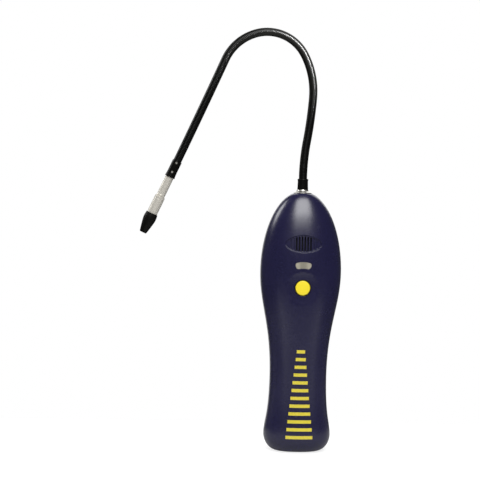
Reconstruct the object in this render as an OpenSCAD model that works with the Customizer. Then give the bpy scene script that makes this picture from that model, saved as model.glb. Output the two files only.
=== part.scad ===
// Handheld refrigerant leak detector with a gooseneck probe, standing on its foot.
// Millimetres, +Z up, the front with the button toward -Y, origin at the middle of the foot.

/* [Housing outline] */
// Height of the housing from the foot to the flat top
body_h = 220; // [212:1:232]
// Widest part of the head
head_w = 69; // [66:0.5:76]
// Height of the widest part of the head
head_z = 153; // [151:1:156]
// Narrowest part of the grip
waist_w = 48.5; // [47:0.5:52]
// Height of the narrowest part of the grip
waist_z = 64; // [58:1:70]
// Widest part of the foot
foot_w = 57; // [55:0.5:62]
// Height of the widest part of the foot
foot_z = 14; // [12:0.5:16]
// Width of the flat face that the foot stands on
foot_flat_w = 34; // [30:0.5:36]
// Width of the flat seat for the probe on top
top_flat = 17; // [16:0.5:20]
// Depth of the head from front to back
head_d = 48; // [46:0.5:54]
// Depth of the grip at its narrowest
waist_d = 41; // [40:0.5:46]
// Depth of the foot
foot_d = 46; // [45:0.5:50]
// Squareness of the cross section, 2 is an ellipse
section_power = 2.35; // [2.2:0.05:2.6]
// Thickness of the moulded wall
wall = 2.5; // [2.2:0.1:2.8]
// Chamfer along the parting line
seam_edge = 0.4; // [0.2:0.05:0.6]

/* [Front panel] */
// Width of the oval grille recess
grille_w = 29.5; // [26:0.5:32]
// Height of the oval grille recess
grille_h = 14; // [12:0.5:16]
// Depth of the grille recess
grille_depth = 0.9; // [0.5:0.1:1.1]
// Spacing of the grille slots
slot_pitch = 2.4; // [2.2:0.1:2.6]
// Width of a grille slot
slot_w = 1.3; // [1:0.1:1.5]
// Diameter of the power button
button_d = 12.4; // [11:0.2:14]
// Gap around the power button
button_gap = 0.8; // [0.4:0.1:1]
// Depth of the finger dish around the button
dish_depth = 1.3; // [1:0.1:2.4]
// How far the button goes in
button_travel = 1; // [0.6:0.1:1.2]
// Half angle of the indicator lens seen from the button
lens_angle = 20; // [15:0.5:24]

/* [Batteries] */
// Diameter of a cell
cell_d = 26.2; // [25:0.1:26.4]
// Length of a cell
cell_len = 50; // [48:0.5:50.5]
// Thickness of the battery door
door_t = 1.5; // [1.3:0.1:1.6]
// Gap around the battery door
door_gap = 0.3; // [0.25:0.05:0.4]

/* [Probe] */
// Outside diameter of the gooseneck
neck_d = 7.1; // [6.4:0.1:7.6]
// Bore of the gooseneck
neck_bore = 3.8; // [3.4:0.1:4.2]
// Straight rise above the housing
rise_len = 13.6; // [12:0.2:20]
// Length of the first bend, to the right
sway_len = 31; // [20:0.5:40]
// Turn of the first bend
sway_turn = -9.5; // [-15:0.5:-2]
// Length of the second bend, to the left
lean_len = 36.5; // [20:0.5:50]
// Turn of the second bend
lean_turn = 5.7; // [2:0.1:12]
// Length of the shoulder of the arch
shoulder_len = 37.5; // [25:0.5:50]
// Turn of the shoulder of the arch
shoulder_turn = 31.7; // [20:0.1:40]
// Length of the crown of the arch
crown_len = 49; // [44:0.5:60]
// Turn of the crown of the arch
crown_turn = 78.5; // [65:0.5:85]
// Length of the far side of the arch
fall_len = 35.5; // [30:0.5:45]
// Turn of the far side of the arch
fall_turn = 50; // [40:0.5:55]
// Length of the nearly straight limb with the sensor
limb_len = 110; // [90:1:130]
// Turn of the limb
limb_turn = -1.1; // [-3:0.1:-0.5]
// Diameter of the sensor socket
socket_d = 7.2; // [6.8:0.1:7.6]
// Length of the sensor socket outside its sleeve
socket_len = 18; // [14:0.5:24]
// Diameter of the sensor barrel
barrel_d = 8.8; // [8.4:0.1:9.4]
// Length of the sensor barrel in sight
barrel_len = 16; // [12:0.5:22]
// Length of the tip guard
guard_len = 18; // [16:0.5:22]
// Diameter of the air inlet in the tip guard
inlet_d = 3; // [2:0.1:3.6]

/* [Hidden] */
$fn = 72;

// Colours
navy = [0.17, 0.16, 0.26];
yellow = [0.96, 0.87, 0.2];
black = [0.12, 0.12, 0.12];
silver = [0.78, 0.77, 0.74];
lens_grey = [0.58, 0.55, 0.49];
board_green = [0.1, 0.35, 0.2];
jacket = [0.75, 0.55, 0.2];
copper = [0.72, 0.45, 0.3];
white = [0.9, 0.89, 0.85];

// Resting clearances
fit_gap = 0.05;
seat_gap = 0.1;
free_gap = 0.3;

// Outline of the housing
foot_flat_d = foot_d - (foot_w - foot_flat_w);
dome_h = (body_h - head_z) / sin(acos(top_flat / head_w));
dome_turn_d = acos(top_flat / head_d);

function bezier(a, b, c, d, t) =
    a * pow(1 - t, 3) + 3 * b * t * pow(1 - t, 2) + 3 * c * t * t * (1 - t) + d * pow(t, 3);

// Key stations, each as height, half width and half depth, for a skin sunk by i
function flat_at(i) = [i, foot_flat_w / 2, foot_flat_d / 2];
function foot_at(i) = [foot_z, foot_w / 2 - i, foot_d / 2 - i];
function waist_at(i) = [waist_z, waist_w / 2 - i, waist_d / 2 - i];
function head_at(i) = [head_z, head_w / 2 - i, head_d / 2 - i];
function with_z(p, z) = [z, p[1], p[2]];

function corner_point(i, t) =
    let (a = flat_at(i), d = foot_at(i), m = a + 0.55 * (d - a))
    bezier(a, [a[0], m[1], m[2]], with_z(d, d[0] - 0.55 * (d[0] - a[0])), d, t);
function grip_point(i, t) =
    let (a = foot_at(i), d = waist_at(i), rise = d[0] - a[0])
    bezier(a, with_z(a, a[0] + 0.2 * rise), with_z(d, d[0] - 0.7 * rise), d, t);
function neck_point(i, t) =
    let (a = waist_at(i), d = head_at(i), rise = d[0] - a[0])
    bezier(a, with_z(a, a[0] + 0.5 * rise), with_z(d, d[0] - 0.32 * rise), d, t);
function dome_point(i, t) =
    let (h = head_at(i), turn_w = asin((body_h - i - head_z) / (dome_h - i)))
    [head_z + (dome_h - i) * sin(t * turn_w), h[1] * cos(t * turn_w), h[2] * cos(t * dome_turn_d)];

function stations(i, n) = concat(
    [for (k = [0 : n - 1]) corner_point(i, k / n)],
    [for (k = [0 : n - 1]) grip_point(i, k / n)],
    [for (k = [0 : n - 1]) neck_point(i, k / n)],
    [for (k = [0 : n]) dome_point(i, k / n)]);

outline = stations(0, 12);
function half_w(z) = lookup(z, [for (s = outline) [s[0], s[1]]]);
function half_d(z) = lookup(z, [for (s = outline) [s[0], s[2]]]);
function skin_y(x, z, i) =
    (half_d(z) - i) * pow(1 - pow(abs(x) / (half_w(z) - i), section_power), 1 / section_power);

// Half of a cross section, side is -1 for the front and 1 for the rear
function bow(v) = sign(v) * pow(abs(v), 2 / section_power);
function section(s, side, cols, edge, past) =
    let (w = s[1], d = s[2], a0 = asin(pow(edge / d, section_power / 2)))
    concat(
        [[side * (w - edge), -side * past, s[0]]],
        [for (k = [0 : cols]) let (a = a0 + k * (180 - 2 * a0) / cols)
            [side * w * bow(cos(a)), side * d * bow(sin(a)), s[0]]],
        [[-side * (w - edge), -side * past, s[0]]]);

// Solid half of the body, or a band of it, lofted through its stations
module skin(side, i = 0, n = 9, cols = 26, edge = 0, past = 1, low = 0, high = 99) {
    rows = stations(i, n);
    band = [for (k = [low : min(high, len(rows) - 1)]) section(rows[k], side, cols, edge, past)];
    m = len(band[0]);
    last = len(band) - 1;
    sides = [for (j = [0 : last - 1]) for (k = [0 : m - 1])
        [j * m + k, (j + 1) * m + k, (j + 1) * m + (k + 1) % m, j * m + (k + 1) % m]];
    floor_face = [for (k = [0 : m - 1]) k];
    top_face = [for (k = [m - 1 : -1 : 0]) last * m + k];
    polyhedron([for (r = band) for (p = r) p], concat(sides, [floor_face], [top_face]), convexity = 8);
}

// Prism along Y between two depths, drawn as seen from the front
module prism_y(y0, y1) {
    translate([0, y1, 0]) rotate([90, 0, 0]) linear_extrude(height = y1 - y0) children();
}
// Round rod along Y
module rod_y(r, y0, y1) {
    translate([0, y1, 0]) rotate([90, 0, 0]) cylinder(r = r, h = y1 - y0);
}

// Places of the batteries
cell_play = 0.5;
tray_t = 1.6;
bay_r = cell_d / 2 + cell_play;
tray_r = bay_r + tray_t;
cell_room = 1;
cell_y = waist_d / 2 - door_t - cell_room - cell_d / 2;
foot_room = 2;
spring_room = 6.4;
plate_room = 1.6;
bay_z0 = foot_z + foot_room;
cell_z0 = bay_z0 + spring_room;
bay_z1 = cell_z0 + 2 * cell_len + plate_room;
rim_gap = 0.5;
rim_y = skin_y(tray_r, waist_z, wall) - rim_gap;
rib_inset = 16;
rib_w = 16;
rib_t = 2;
hatch_side = 0.2;
hatch_inset = 1;
hatch_w = 2 * (bay_r + hatch_side);
hatch_z0 = bay_z0 + hatch_inset;
hatch_z1 = bay_z1 - hatch_inset;
ledge_w = 1.9;
ledge_h = 2.4;
door_w = hatch_w + 2 * ledge_w;
door_z0 = hatch_z0 - ledge_h;
door_z1 = hatch_z1 + ledge_h;
door_corner = 4;
hinge_y = half_d(door_z0);
hook_reach = 4.5;
hook_t = 1.3;
hook_w = 5;
hook_x = 5.5;
latch_w = 10;
latch_reach = 4;
band_low = 7;
band_high = 26;

// Places on the front panel
dome_rise = body_h - head_z;
button_drop = 12;
switch_w = 6;
switch_t = 3.4;
button_z = max(head_z - button_drop, bay_z1 + tray_t + switch_w / 2 + 1);
dish_rx = 600;
dish_rz = 91;
dish_lean = 2.5;
dish_y = -(half_d(button_z) - dish_depth);
pad_t = 3;
pad_y = dish_y + pad_t;
pad_r = 16.5;
lens_r0 = 16.4;
lens_r1 = 22;
lens_corner = 2.2;
lens_lip = 0.9;
lens_gap = 0.15;
lens_top = button_z + lens_r1;
grille_z = lens_top + 0.2625 * (body_h - lens_top);
button_r = button_d / 2;
button_proud = 0.9;
button_front = dish_y - button_proud;
flange_t = 1.2;
flange_w = 2;
flange_y = pad_y + seat_gap;
stem_r = 2.5;
stem_len = 3.9;
stem_y = flange_y + flange_t + stem_len;
stop_gap = 0.4;
plunger_r = 1.7;
plunger_seat = 0.95;
plunger_len = button_travel + stop_gap + plunger_seat;
switch_y = stem_y + fit_gap + button_travel + stop_gap;
switch_hole = plunger_seat + button_travel + stop_gap;
board_y = switch_y + switch_t;
board_t = 1.6;
sounder_size = 12.3;
seat_rim = 2;
sounder_r = min(sounder_size, grille_z - lens_top - lens_lip - seat_rim - free_gap);
sounder_t = 4.6;
sounder_room = 8.1;
seat_y = board_y - sounder_room;

// Places of the board and the screws
boss_r = 3.6;
well_floor = 4;
screw_r = 1.2;
screw_len = 10;
screw_head_r = 2.75;
screw_head_t = 2;
high_screw_z = head_z + 0.672 * dome_rise;
high_screw = [half_w(high_screw_z) * 0.65, high_screw_z];
low_screw_rise = 6;
low_screw_in = 7.4;
low_screw = [half_w(foot_z + low_screw_rise) - low_screw_in, foot_z + low_screw_rise];
board_w = 36;
board_below = 24.5;
board_room = 3.5;
board_clear = 2.4;
board_z0 = max(head_z - board_below, bay_z1 + board_room);
board_z1 = high_screw_z - boss_r - board_clear;
post_r = 2.4;
pilot_r = 0.9;
post_x = 14.5;
post_inset = 2.75;
post_low = board_z0 + post_inset;
post_high = board_z1 - post_inset;
connector_drop = 4;
connector_h = 8;
connector_w = 10;

module at_screws() {
    for (p = [high_screw, low_screw])
        for (s = [-1, 1])
            translate([s * p[0], 0, p[1]]) children();
}
module at_posts() {
    for (z = [post_low, post_high])
        for (s = [-1, 1])
            translate([s * post_x, 0, z]) children();
}

// Sizes of the lead and the sensor
lead_r = 1.3;
lead_grip = 5;
crimp_len = 15;
stub_r = 2.65;
stub_len = 7.8;
guard_seat = 6.3;
element_seat = 2.2;
element_r = 2.8;
element_len = 8;

// Path of the gooseneck in the XZ plane, each step a length and a turn to the left
sleeve_cover = 4;
joint_band = 1;
bends = [[rise_len, 0], [sway_len, sway_turn], [lean_len, lean_turn], [shoulder_len, shoulder_turn],
    [crown_len, crown_turn], [fall_len, fall_turn], [limb_len, limb_turn]];
function bend_r(b) = b[0] / (b[1] * PI / 180);
function advance(p, b) = b[1] == 0
    ? [p[0] - b[0] * sin(p[2]), p[1] + b[0] * cos(p[2]), p[2]]
    : let (r = bend_r(b), a = p[2] + b[1])
        [p[0] + r * (cos(a) - cos(p[2])), p[1] + r * (sin(a) - sin(p[2])), a];
function pose(k) = k == 0 ? [0, body_h, 0] : advance(pose(k - 1), bends[k - 1]);
tip = pose(len(bends));

// Tube along the path, from a start below the housing top to its far end
module along_path(ro, ri, start) {
    translate([0, 0, body_h - start]) tube(ro, ri, start);
    for (k = [0 : len(bends) - 1]) {
        p = pose(k);
        b = bends[k];
        if (b[1] == 0) {
            translate([p[0], 0, p[1]]) rotate([0, -p[2], 0]) tube(ro, ri, b[0]);
        } else {
            r = bend_r(b);
            from = b[1] > 0 ? p[2] : p[2] + 180 + b[1];
            translate([p[0] - r * cos(p[2]), 0, p[1] - r * sin(p[2])])
                rotate([90, 0, 0])
                    rotate([0, 0, from])
                        rotate_extrude(angle = abs(b[1])) translate([abs(r), 0]) ring(ro, ri);
        }
    }
    for (k = [0 : len(bends)]) {
        p = pose(k);
        translate([p[0], 0, p[1]])
            rotate([0, -p[2], 0])
                translate([0, 0, -joint_band / 2]) tube(ro + fit_gap, max(ri - fit_gap, 0), joint_band);
    }
}
module ring(ro, ri) {
    difference() {
        circle(r = ro);
        if (ri > 0) circle(r = ri);
    }
}
module tube(ro, ri, h) {
    linear_extrude(height = h) ring(ro, ri);
}
// Frame of the sensor, its Z along the probe and its zero at the end of the tip sleeve
module at_tip() {
    translate([tip[0], 0, tip[1]]) rotate([0, -tip[2], 0]) children();
}

// Flat shapes of the front panel
module oval() {
    scale([grille_w, grille_h]) circle(d = 1);
}
module slot_row(count, w) {
    for (k = [0 : count - 1])
        translate([(k - (count - 1) / 2) * slot_pitch, 0]) square([w, grille_h + 2], center = true);
}
module wedge(r0, r1, half, corner = 0) {
    offset(r = corner) offset(delta = -corner) intersection() {
        difference() {
            circle(r = r1);
            circle(r = r0);
        }
        polygon([[0, 0], [-60 * tan(half), 60], [60 * tan(half), 60]]);
    }
}

// Oval recess that follows the curved face, with open slots in the middle and blind ones beside them
module grille_cut() {
    translate([0, 0, grille_z]) {
        difference() {
            prism_y(-head_d, -8) oval();
            translate([0, 0, -grille_z]) skin(-1, grille_depth, 9, 20, low = 27, high = 34);
        }
        difference() {
            prism_y(-head_d, -8) intersection() {
                oval();
                slot_row(10, slot_w);
            }
            translate([0, 0, -grille_z]) skin(-1, grille_depth + 0.7, 9, 20, low = 27, high = 34);
        }
        prism_y(-head_d, -8) intersection() {
            oval();
            slot_row(6, slot_w);
        }
    }
}
// Shallow round dish for the finger
module dish_cut() {
    translate([0, dish_y, button_z])
        rotate([dish_lean, 0, 0])
            translate([0, -dish_rx, 0])
                rotate([0, 0, 87])
                    rotate_extrude(angle = 6) translate([dish_rx - dish_rz, 0]) circle(r = dish_rz);
}

module front_supports() {
    translate([0, 0, button_z]) rod_y(pad_r, -head_d, pad_y);
    translate([0, 0, button_z]) prism_y(-head_d, pad_y) wedge(lens_r0 - 3, lens_r1 + 3, lens_angle + 7);
    translate([0, 0, grille_z]) {
        difference() {
            rod_y(sounder_r + seat_rim, -head_d, seat_y + 3.8);
            rod_y(sounder_r + free_gap, seat_y, 0);
            rod_y(sounder_r - 1.6, -head_d - 1, 0);
        }
    }
    at_screws() rod_y(boss_r, -head_d, 1);
    at_posts() rod_y(post_r, -head_d, board_y);
    for (z = [bay_z0 + rib_inset, bay_z1 - rib_inset])
        translate([-rib_w / 2, -head_d, z - rib_t / 2])
            cube([rib_w, head_d + cell_y - tray_r - seat_gap, rib_t]);
}

// Front half of the moulded housing
module front_housing() {
    color(navy) difference() {
        skin(-1, 0, 9, 26, seam_edge, 0);
        difference() {
            skin(-1, wall, 6, 16);
            front_supports();
        }
        grille_cut();
        dish_cut();
        translate([0, 0, button_z]) rod_y(button_r + button_gap, -head_d, 0);
        translate([0, 0, button_z]) prism_y(-head_d, 0) wedge(lens_r0, lens_r1, lens_angle, lens_corner);
        stem_hole();
        at_screws() rod_y(screw_r + fit_gap, -screw_len - 1, 1);
        at_posts() rod_y(pilot_r, board_y - 5.5, 0);
    }
}

// Round hole in the top for the stem of the probe collar
module stem_hole() {
    translate([0, 0, body_h - collar_stem_len])
        cylinder(r = collar_stem_r + seat_gap, h = 2 * collar_stem_len);
}

module door_outline(gap) {
    w = door_w / 2 + gap;
    z0 = door_z0 - gap;
    z1 = door_z1 + gap;
    r = door_corner;
    translate([-w, z0]) square([2 * w, z1 - z0 - r]);
    translate([-w + r, z0]) square([2 * w - 2 * r, z1 - z0]);
    for (s = [-1, 1])
        translate([s * (w - r), z1 - r]) circle(r = r);
}

// Rear half of the moulded housing, with the battery hatch and the screw wells
module rear_housing() {
    scoop_z = door_z1 + 1.5;
    color(navy) difference() {
        skin(1, 0, 9, 26, seam_edge, 0);
        difference() {
            skin(1, wall, 6, 16);
            at_screws() rod_y(boss_r + 1, -1, head_d);
        }
        difference() {
            prism_y(5, head_d) door_outline(door_gap);
            skin(1, door_t + seat_gap, 9, 20, low = band_low, high = band_high);
        }
        translate([-hatch_w / 2, 5, hatch_z0]) cube([hatch_w, head_d, hatch_z1 - hatch_z0]);
        at_screws() rod_y(boss_r - 0.3, well_floor, head_d);
        at_screws() rod_y(screw_r + 0.5, -1, well_floor + 1);
        stem_hole();
        translate([0, half_d(scoop_z) - 1.4 + 9, scoop_z]) sphere(r = 9);
    }
}

// Battery door, flush with the back of the grip, hooked at the bottom
module battery_door() {
    hook_y = hinge_y - hook_reach - hook_t;
    tab_y = hinge_y - 0.65 * door_t;
    latch_y = skin_y(0, hatch_z1, door_t) - latch_reach;
    color(navy) {
        intersection() {
            prism_y(5, head_d) door_outline(0);
            difference() {
                skin(1, 0, 9, 26, low = band_low, high = band_high);
                skin(1, door_t, 9, 26, low = band_low - 1, high = band_high + 1);
            }
        }
        for (s = [-1, 1])
            translate([s * hook_x - hook_w / 2, hook_y, 0]) {
                translate([0, 0, door_z0]) cube([hook_w, hook_t, ledge_h + 2.6]);
                translate([0, 0, hatch_z0 + 0.4]) cube([hook_w, tab_y - hook_y, 2.1]);
            }
        translate([-latch_w / 2, latch_y, hatch_z1 - 2]) cube([latch_w, latch_reach + 0.3, 1.2]);
        translate([-latch_w / 2, latch_y, hatch_z1 - 2]) cube([latch_w, 1.4, 1.7]);
    }
}

// Recessed cross-head screws that hold the two halves together
module housing_screws() {
    color(silver) at_screws() difference() {
        union() {
            rod_y(screw_head_r, well_floor, well_floor + screw_head_t);
            rod_y(screw_r, -screw_len, well_floor + 0.5);
        }
        for (a = [0, 90])
            translate([0, well_floor + screw_head_t, 0])
                rotate([0, a, 0])
                    cube([3.2, 2.4, 0.7], center = true);
    }
}

// Power button with a domed face, a flange behind the wall and a stem
module power_button() {
    edge = 0.8;
    color(yellow) translate([0, button_front, button_z]) rotate([-90, 0, 0]) {
        cap = flange_y - button_front;
        rotate_extrude() union() {
            square([button_r - edge, cap + flange_t]);
            translate([0, edge]) square([button_r, cap + flange_t - edge]);
            intersection() {
                translate([button_r - edge, edge]) circle(r = edge);
                square([button_r, edge]);
            }
            translate([0, cap]) square([button_r + flange_w, flange_t]);
            square([stem_r, stem_y - button_front]);
        }
    }
}
// Plunger of the switch, pushed by the button
module switch_plunger() {
    front = stem_y + fit_gap;
    color(black) translate([0, 0, button_z]) rod_y(plunger_r, front, front + plunger_len);
}
module switch_body() {
    color(silver) translate([0, 0, button_z]) difference() {
        translate([-switch_w / 2, switch_y, -switch_w / 2]) cube([switch_w, switch_t, switch_w]);
        rod_y(plunger_r + seat_gap, switch_y - 1, switch_y + switch_hole);
    }
}

// Translucent window over the indicator lamp, its face level with the housing
module indicator_lens() {
    color(lens_grey) translate([0, 0, button_z]) {
        intersection() {
            prism_y(-head_d, pad_y + 0.6)
                wedge(lens_r0 + lens_gap, lens_r1 - lens_gap, lens_angle - 0.4, lens_corner - lens_gap);
            translate([0, 0, -button_z]) skin(-1, 0, 9, 26, low = 22, high = 32);
        }
        prism_y(pad_y, pad_y + 1.2) wedge(lens_r0 - lens_lip, lens_r1 + lens_lip, lens_angle + 3);
    }
}
module indicator_led() {
    color(lens_grey) translate([0, 0, button_z + (lens_r0 + lens_r1) / 2]) {
        rod_y(2.9, board_y - 1, board_y);
        rod_y(2.5, board_y - 4.6, board_y - 0.5);
        translate([0, board_y - 4.6, 0]) sphere(r = 2.5);
    }
}
// Round sounder behind the grille
module sounder() {
    color(black) translate([0, 0, grille_z]) {
        difference() {
            rod_y(sounder_r, seat_y, seat_y + sounder_t);
            rod_y(sounder_r - 2, seat_y - 1, seat_y + 0.8);
        }
        rod_y(sounder_r - 3.4, seat_y + 0.4, seat_y + 2);
        rod_y(0.56 * sounder_r, seat_y + 1, seat_y + sounder_t + 2);
    }
}

// Circuit board on four posts in the head
module circuit_board() {
    color(board_green) difference() {
        translate([-board_w / 2, board_y, board_z0]) cube([board_w, board_t, board_z1 - board_z0]);
        at_posts() rod_y(pilot_r + 0.2, board_y - 1, board_y + 3);
    }
}
post_screw_len = 5;
module board_screws() {
    color(silver) at_posts() {
        rod_y(2, board_y + board_t, board_y + board_t + 1.3);
        rod_y(pilot_r - fit_gap, board_y - post_screw_len, board_y + board_t + 0.5);
    }
}
chip_w = 12;
chip_t = 1.6;
can_r = 3.6;
can_h = 6.5;
can_x = 11.5;
can_low = 10.5;
can_drop = 21;
module board_chips() {
    back = board_y + board_t;
    color(black) {
        translate([-chip_w / 2, back, (board_z0 + board_z1 - chip_w) / 2]) cube([chip_w, chip_t, chip_w]);
        translate([-chip_w - 3, back, board_z0 + chip_w / 2]) cube([chip_w / 2, chip_t, chip_w / 2]);
        for (z = [board_z0 + can_low, board_z1 - can_drop])
            translate([can_x, 0, z]) rod_y(can_r, back, back + can_h);
    }
}
module lead_connector() {
    back = board_y + board_t;
    color(white) translate([-connector_w / 2, back, board_z1 - connector_drop - connector_h]) difference() {
        cube([connector_w, lead_r + 0.9 - back, connector_h]);
        translate([connector_w / 2, -back, connector_h - lead_grip])
            cylinder(r = lead_r + 0.2, h = connector_h);
    }
}

// Trough that holds the two cells
module battery_tray() {
    color(black) difference() {
        translate([0, 0, bay_z0 - tray_t])
            linear_extrude(height = bay_z1 - bay_z0 + 2 * tray_t) trough(tray_r, rim_y);
        translate([0, 0, bay_z0]) linear_extrude(height = bay_z1 - bay_z0) trough(bay_r, rim_y + 1);
    }
}
// Outline of the trough seen from above, open toward the back
module trough(r, back) {
    intersection() {
        union() {
            translate([0, cell_y]) circle(r = r);
            translate([-r, cell_y]) square([2 * r, r]);
        }
        translate([-r, cell_y - r]) square([2 * r, back - cell_y + r]);
    }
}

// One cell with its raised positive end and a rolled rim
module cell(z) {
    r = cell_d / 2;
    color(jacket) translate([0, cell_y, z]) rotate_extrude() {
        square([r - 0.6, cell_len - 1.6]);
        translate([0, 0.5]) square([r, cell_len - 2.6]);
        square([3.2, cell_len]);
    }
}
module cell_lower() {
    cell(cell_z0);
}
module cell_upper() {
    cell(cell_z0 + cell_len + fit_gap);
}

// Coiled negative contact on its plate
contact_w = 17;
contact_t = 0.8;
module spring_contact() {
    turns = 4;
    steps = 16;
    wire = 0.45;
    sides = 6;
    low = bay_z0 + 0.75 * contact_t + wire;
    high = cell_z0 - wire - fit_gap;
    total = turns * steps;
    function coil(k) = let (t = k / total, a = 360 * turns * t, r = 8 - 3.4 * t)
        [r * cos(a), r * sin(a), low + (high - low) * t];
    points = [for (k = [0 : total]) let (c = coil(k), a = 360 * turns * k / total)
        for (j = [0 : sides - 1]) let (b = 360 * j / sides)
            c + wire * [cos(b) * cos(a), cos(b) * sin(a), sin(b)]];
    skin_faces = [for (k = [0 : total - 1]) for (j = [0 : sides - 1]) let (n = (j + 1) % sides)
        [k * sides + j, k * sides + n, (k + 1) * sides + n, (k + 1) * sides + j]];
    start_face = [for (j = [sides - 1 : -1 : 0]) j];
    end_face = [for (j = [0 : sides - 1]) total * sides + j];
    color(silver) translate([0, cell_y, 0]) {
        translate([-contact_w / 2, -contact_w / 2, bay_z0]) cube([contact_w, contact_w, contact_t]);
        polyhedron(points, concat(skin_faces, [start_face], [end_face]), convexity = 10);
    }
}
// Positive contact with a raised spot
module plate_contact() {
    top = cell_z0 + 2 * cell_len + 2 * fit_gap;
    color(silver) translate([0, cell_y, 0]) {
        translate([-contact_w / 2, -contact_w / 2, bay_z1 - contact_t])
            cube([contact_w, contact_w, contact_t]);
        translate([0, 0, top]) cylinder(r1 = 3, r2 = 4, h = bay_z1 - contact_t / 2 - top);
    }
}

// Silver collar on the housing top with its threaded stem
collar_r = 7.6;
collar_h = 3.2;
collar_stem_r = 4.7;
collar_stem_len = 10;
nut_r = 7.6;
nut_h = 3.5;
module probe_collar() {
    bore = neck_d / 2 + fit_gap;
    color(silver) translate([0, 0, body_h]) rotate_extrude() polygon([
        [bore, -collar_stem_len], [collar_stem_r, -collar_stem_len], [collar_stem_r, 0], [collar_r, 0],
        [collar_r, 0.7], [5.9, 1.6], [5.1, 2.3], [4.9, collar_h], [bore, collar_h]]);
}
module lock_nut() {
    color(silver) translate([0, 0, body_h - wall - seat_gap - nut_h]) difference() {
        cylinder(r = nut_r, h = nut_h, $fn = 6);
        translate([0, 0, -1]) cylinder(r = collar_stem_r + fit_gap, h = nut_h + 2);
    }
}
// Black sleeve at the foot of the gooseneck
base_sleeve_len = 9.2;
module base_sleeve() {
    r = neck_d / 2;
    bore = r + fit_gap;
    color(black) translate([0, 0, body_h + collar_h]) rotate_extrude() polygon([
        [bore, 0], [r + 1.05, 0], [r + 1.05, 2], [r + 0.75, base_sleeve_len - 0.6],
        [r + 0.6, base_sleeve_len], [bore, base_sleeve_len]]);
}

// Flexible metal gooseneck, bent into its arch
neck_root = 8;
module gooseneck() {
    color(black) difference() {
        along_path(neck_d / 2, neck_bore / 2, neck_root);
        at_tip() translate([0, 0, -sleeve_cover]) cylinder(r = neck_d, h = 2 * sleeve_cover);
    }
}
// Insulated sensor lead through the gooseneck, down to its connector
module sensor_lead() {
    color(black) {
        along_path(lead_r, 0, body_h - board_z1 + connector_drop + lead_grip);
        at_tip() cylinder(r = lead_r, h = socket_len + barrel_len + element_seat - seat_gap);
    }
}
// Crimped black sleeve between the gooseneck and the sensor
crimp_waist = 5.5;
module tip_sleeve() {
    bore = max(neck_d, socket_d) / 2 + fit_gap;
    color(black) at_tip() rotate_extrude() polygon([
        [bore, -crimp_len], [bore + 0.3, -crimp_len], [bore + 0.4, 0.6 - crimp_len],
        [bore + 0.35, -crimp_waist], [bore + 0.6, -1.4],
        [bore + 0.75, -0.6], [bore + 0.75, 0], [bore, 0]]);
}
// Aluminium socket that takes the sensor
module sensor_socket() {
    r = socket_d / 2;
    color(silver) at_tip() rotate_extrude() difference() {
        translate([0, -sleeve_cover]) square([r, socket_len + sleeve_cover]);
        translate([0, -sleeve_cover - 1]) square([lead_r + 0.6, socket_len + sleeve_cover + 2]);
        translate([0, socket_len - stub_len - 0.2]) square([stub_r + fit_gap, stub_len + 1]);
    }
}
// Replaceable sensor barrel with its stub in the socket
module sensor_barrel() {
    r = barrel_d / 2;
    color(silver) at_tip() translate([0, 0, socket_len]) rotate_extrude() difference() {
        union() {
            polygon([[0, 0], [r - 0.4, 0], [r, 0.4], [r, barrel_len + guard_seat - 0.3],
                [r - 0.3, barrel_len + guard_seat], [0, barrel_len + guard_seat]]);
            translate([0, -stub_len]) square([stub_r, stub_len + 0.2]);
        }
        translate([0, -stub_len - 1]) square([lead_r + 0.3, stub_len + barrel_len + guard_seat + 2]);
        translate([0, barrel_len + element_seat]) square([element_r + seat_gap, guard_seat]);
    }
}
module sensor_element() {
    color(copper) at_tip() translate([0, 0, socket_len + barrel_len + element_seat + seat_gap]) {
        cylinder(r = element_r, h = 1.2);
        cylinder(r = element_r - 0.5, h = element_len);
    }
}
// Black guard pushed onto the barrel, with the air inlet in its end
module tip_guard() {
    bore = barrel_d / 2 + fit_gap;
    inlet = inlet_d / 2;
    color(black) at_tip() translate([0, 0, socket_len + barrel_len]) rotate_extrude() polygon([
        [bore, 0], [bore + 0.5, 0], [bore + 0.95, 3], [bore + 1, 5.4], [bore + 0.75, 7.4],
        [3.1, guard_len - 0.4], [2.8, guard_len], [inlet, guard_len], [inlet, guard_len - 3],
        [bore - 1, guard_seat + 1.7], [bore, guard_seat + 0.3]]);
}

front_housing();
rear_housing();
battery_door();
housing_screws();
power_button();
switch_plunger();
switch_body();
indicator_lens();
indicator_led();
sounder();
circuit_board();
board_screws();
board_chips();
lead_connector();
battery_tray();
cell_lower();
cell_upper();
spring_contact();
plate_contact();
probe_collar();
lock_nut();
base_sleeve();
gooseneck();
sensor_lead();
tip_sleeve();
sensor_socket();
sensor_barrel();
sensor_element();
tip_guard();
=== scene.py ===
"""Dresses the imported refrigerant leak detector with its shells, probe, key, lens and studio."""

import math

import bmesh
import bpy
from bpy.props import FloatProperty, FloatVectorProperty, IntProperty, PointerProperty
from mathutils import Matrix, Vector


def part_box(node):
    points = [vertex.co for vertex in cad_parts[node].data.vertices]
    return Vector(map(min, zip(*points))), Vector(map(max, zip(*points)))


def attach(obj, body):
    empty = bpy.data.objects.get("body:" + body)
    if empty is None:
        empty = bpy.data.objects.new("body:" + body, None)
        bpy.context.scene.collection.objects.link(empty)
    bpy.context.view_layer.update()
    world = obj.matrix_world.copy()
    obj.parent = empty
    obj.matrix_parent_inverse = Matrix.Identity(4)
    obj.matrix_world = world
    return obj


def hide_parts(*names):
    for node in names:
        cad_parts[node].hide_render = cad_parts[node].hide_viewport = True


bl_info = {
    "name": "Leak detector dressing",
    "version": (1, 0, 0),
    "blender": (4, 5, 0),
    "location": "View3D > Sidebar > Detector",
    "description": "Builds the visible pieces of a handheld gas leak detector around its packed frame",
    "category": "Object",
}

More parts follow.
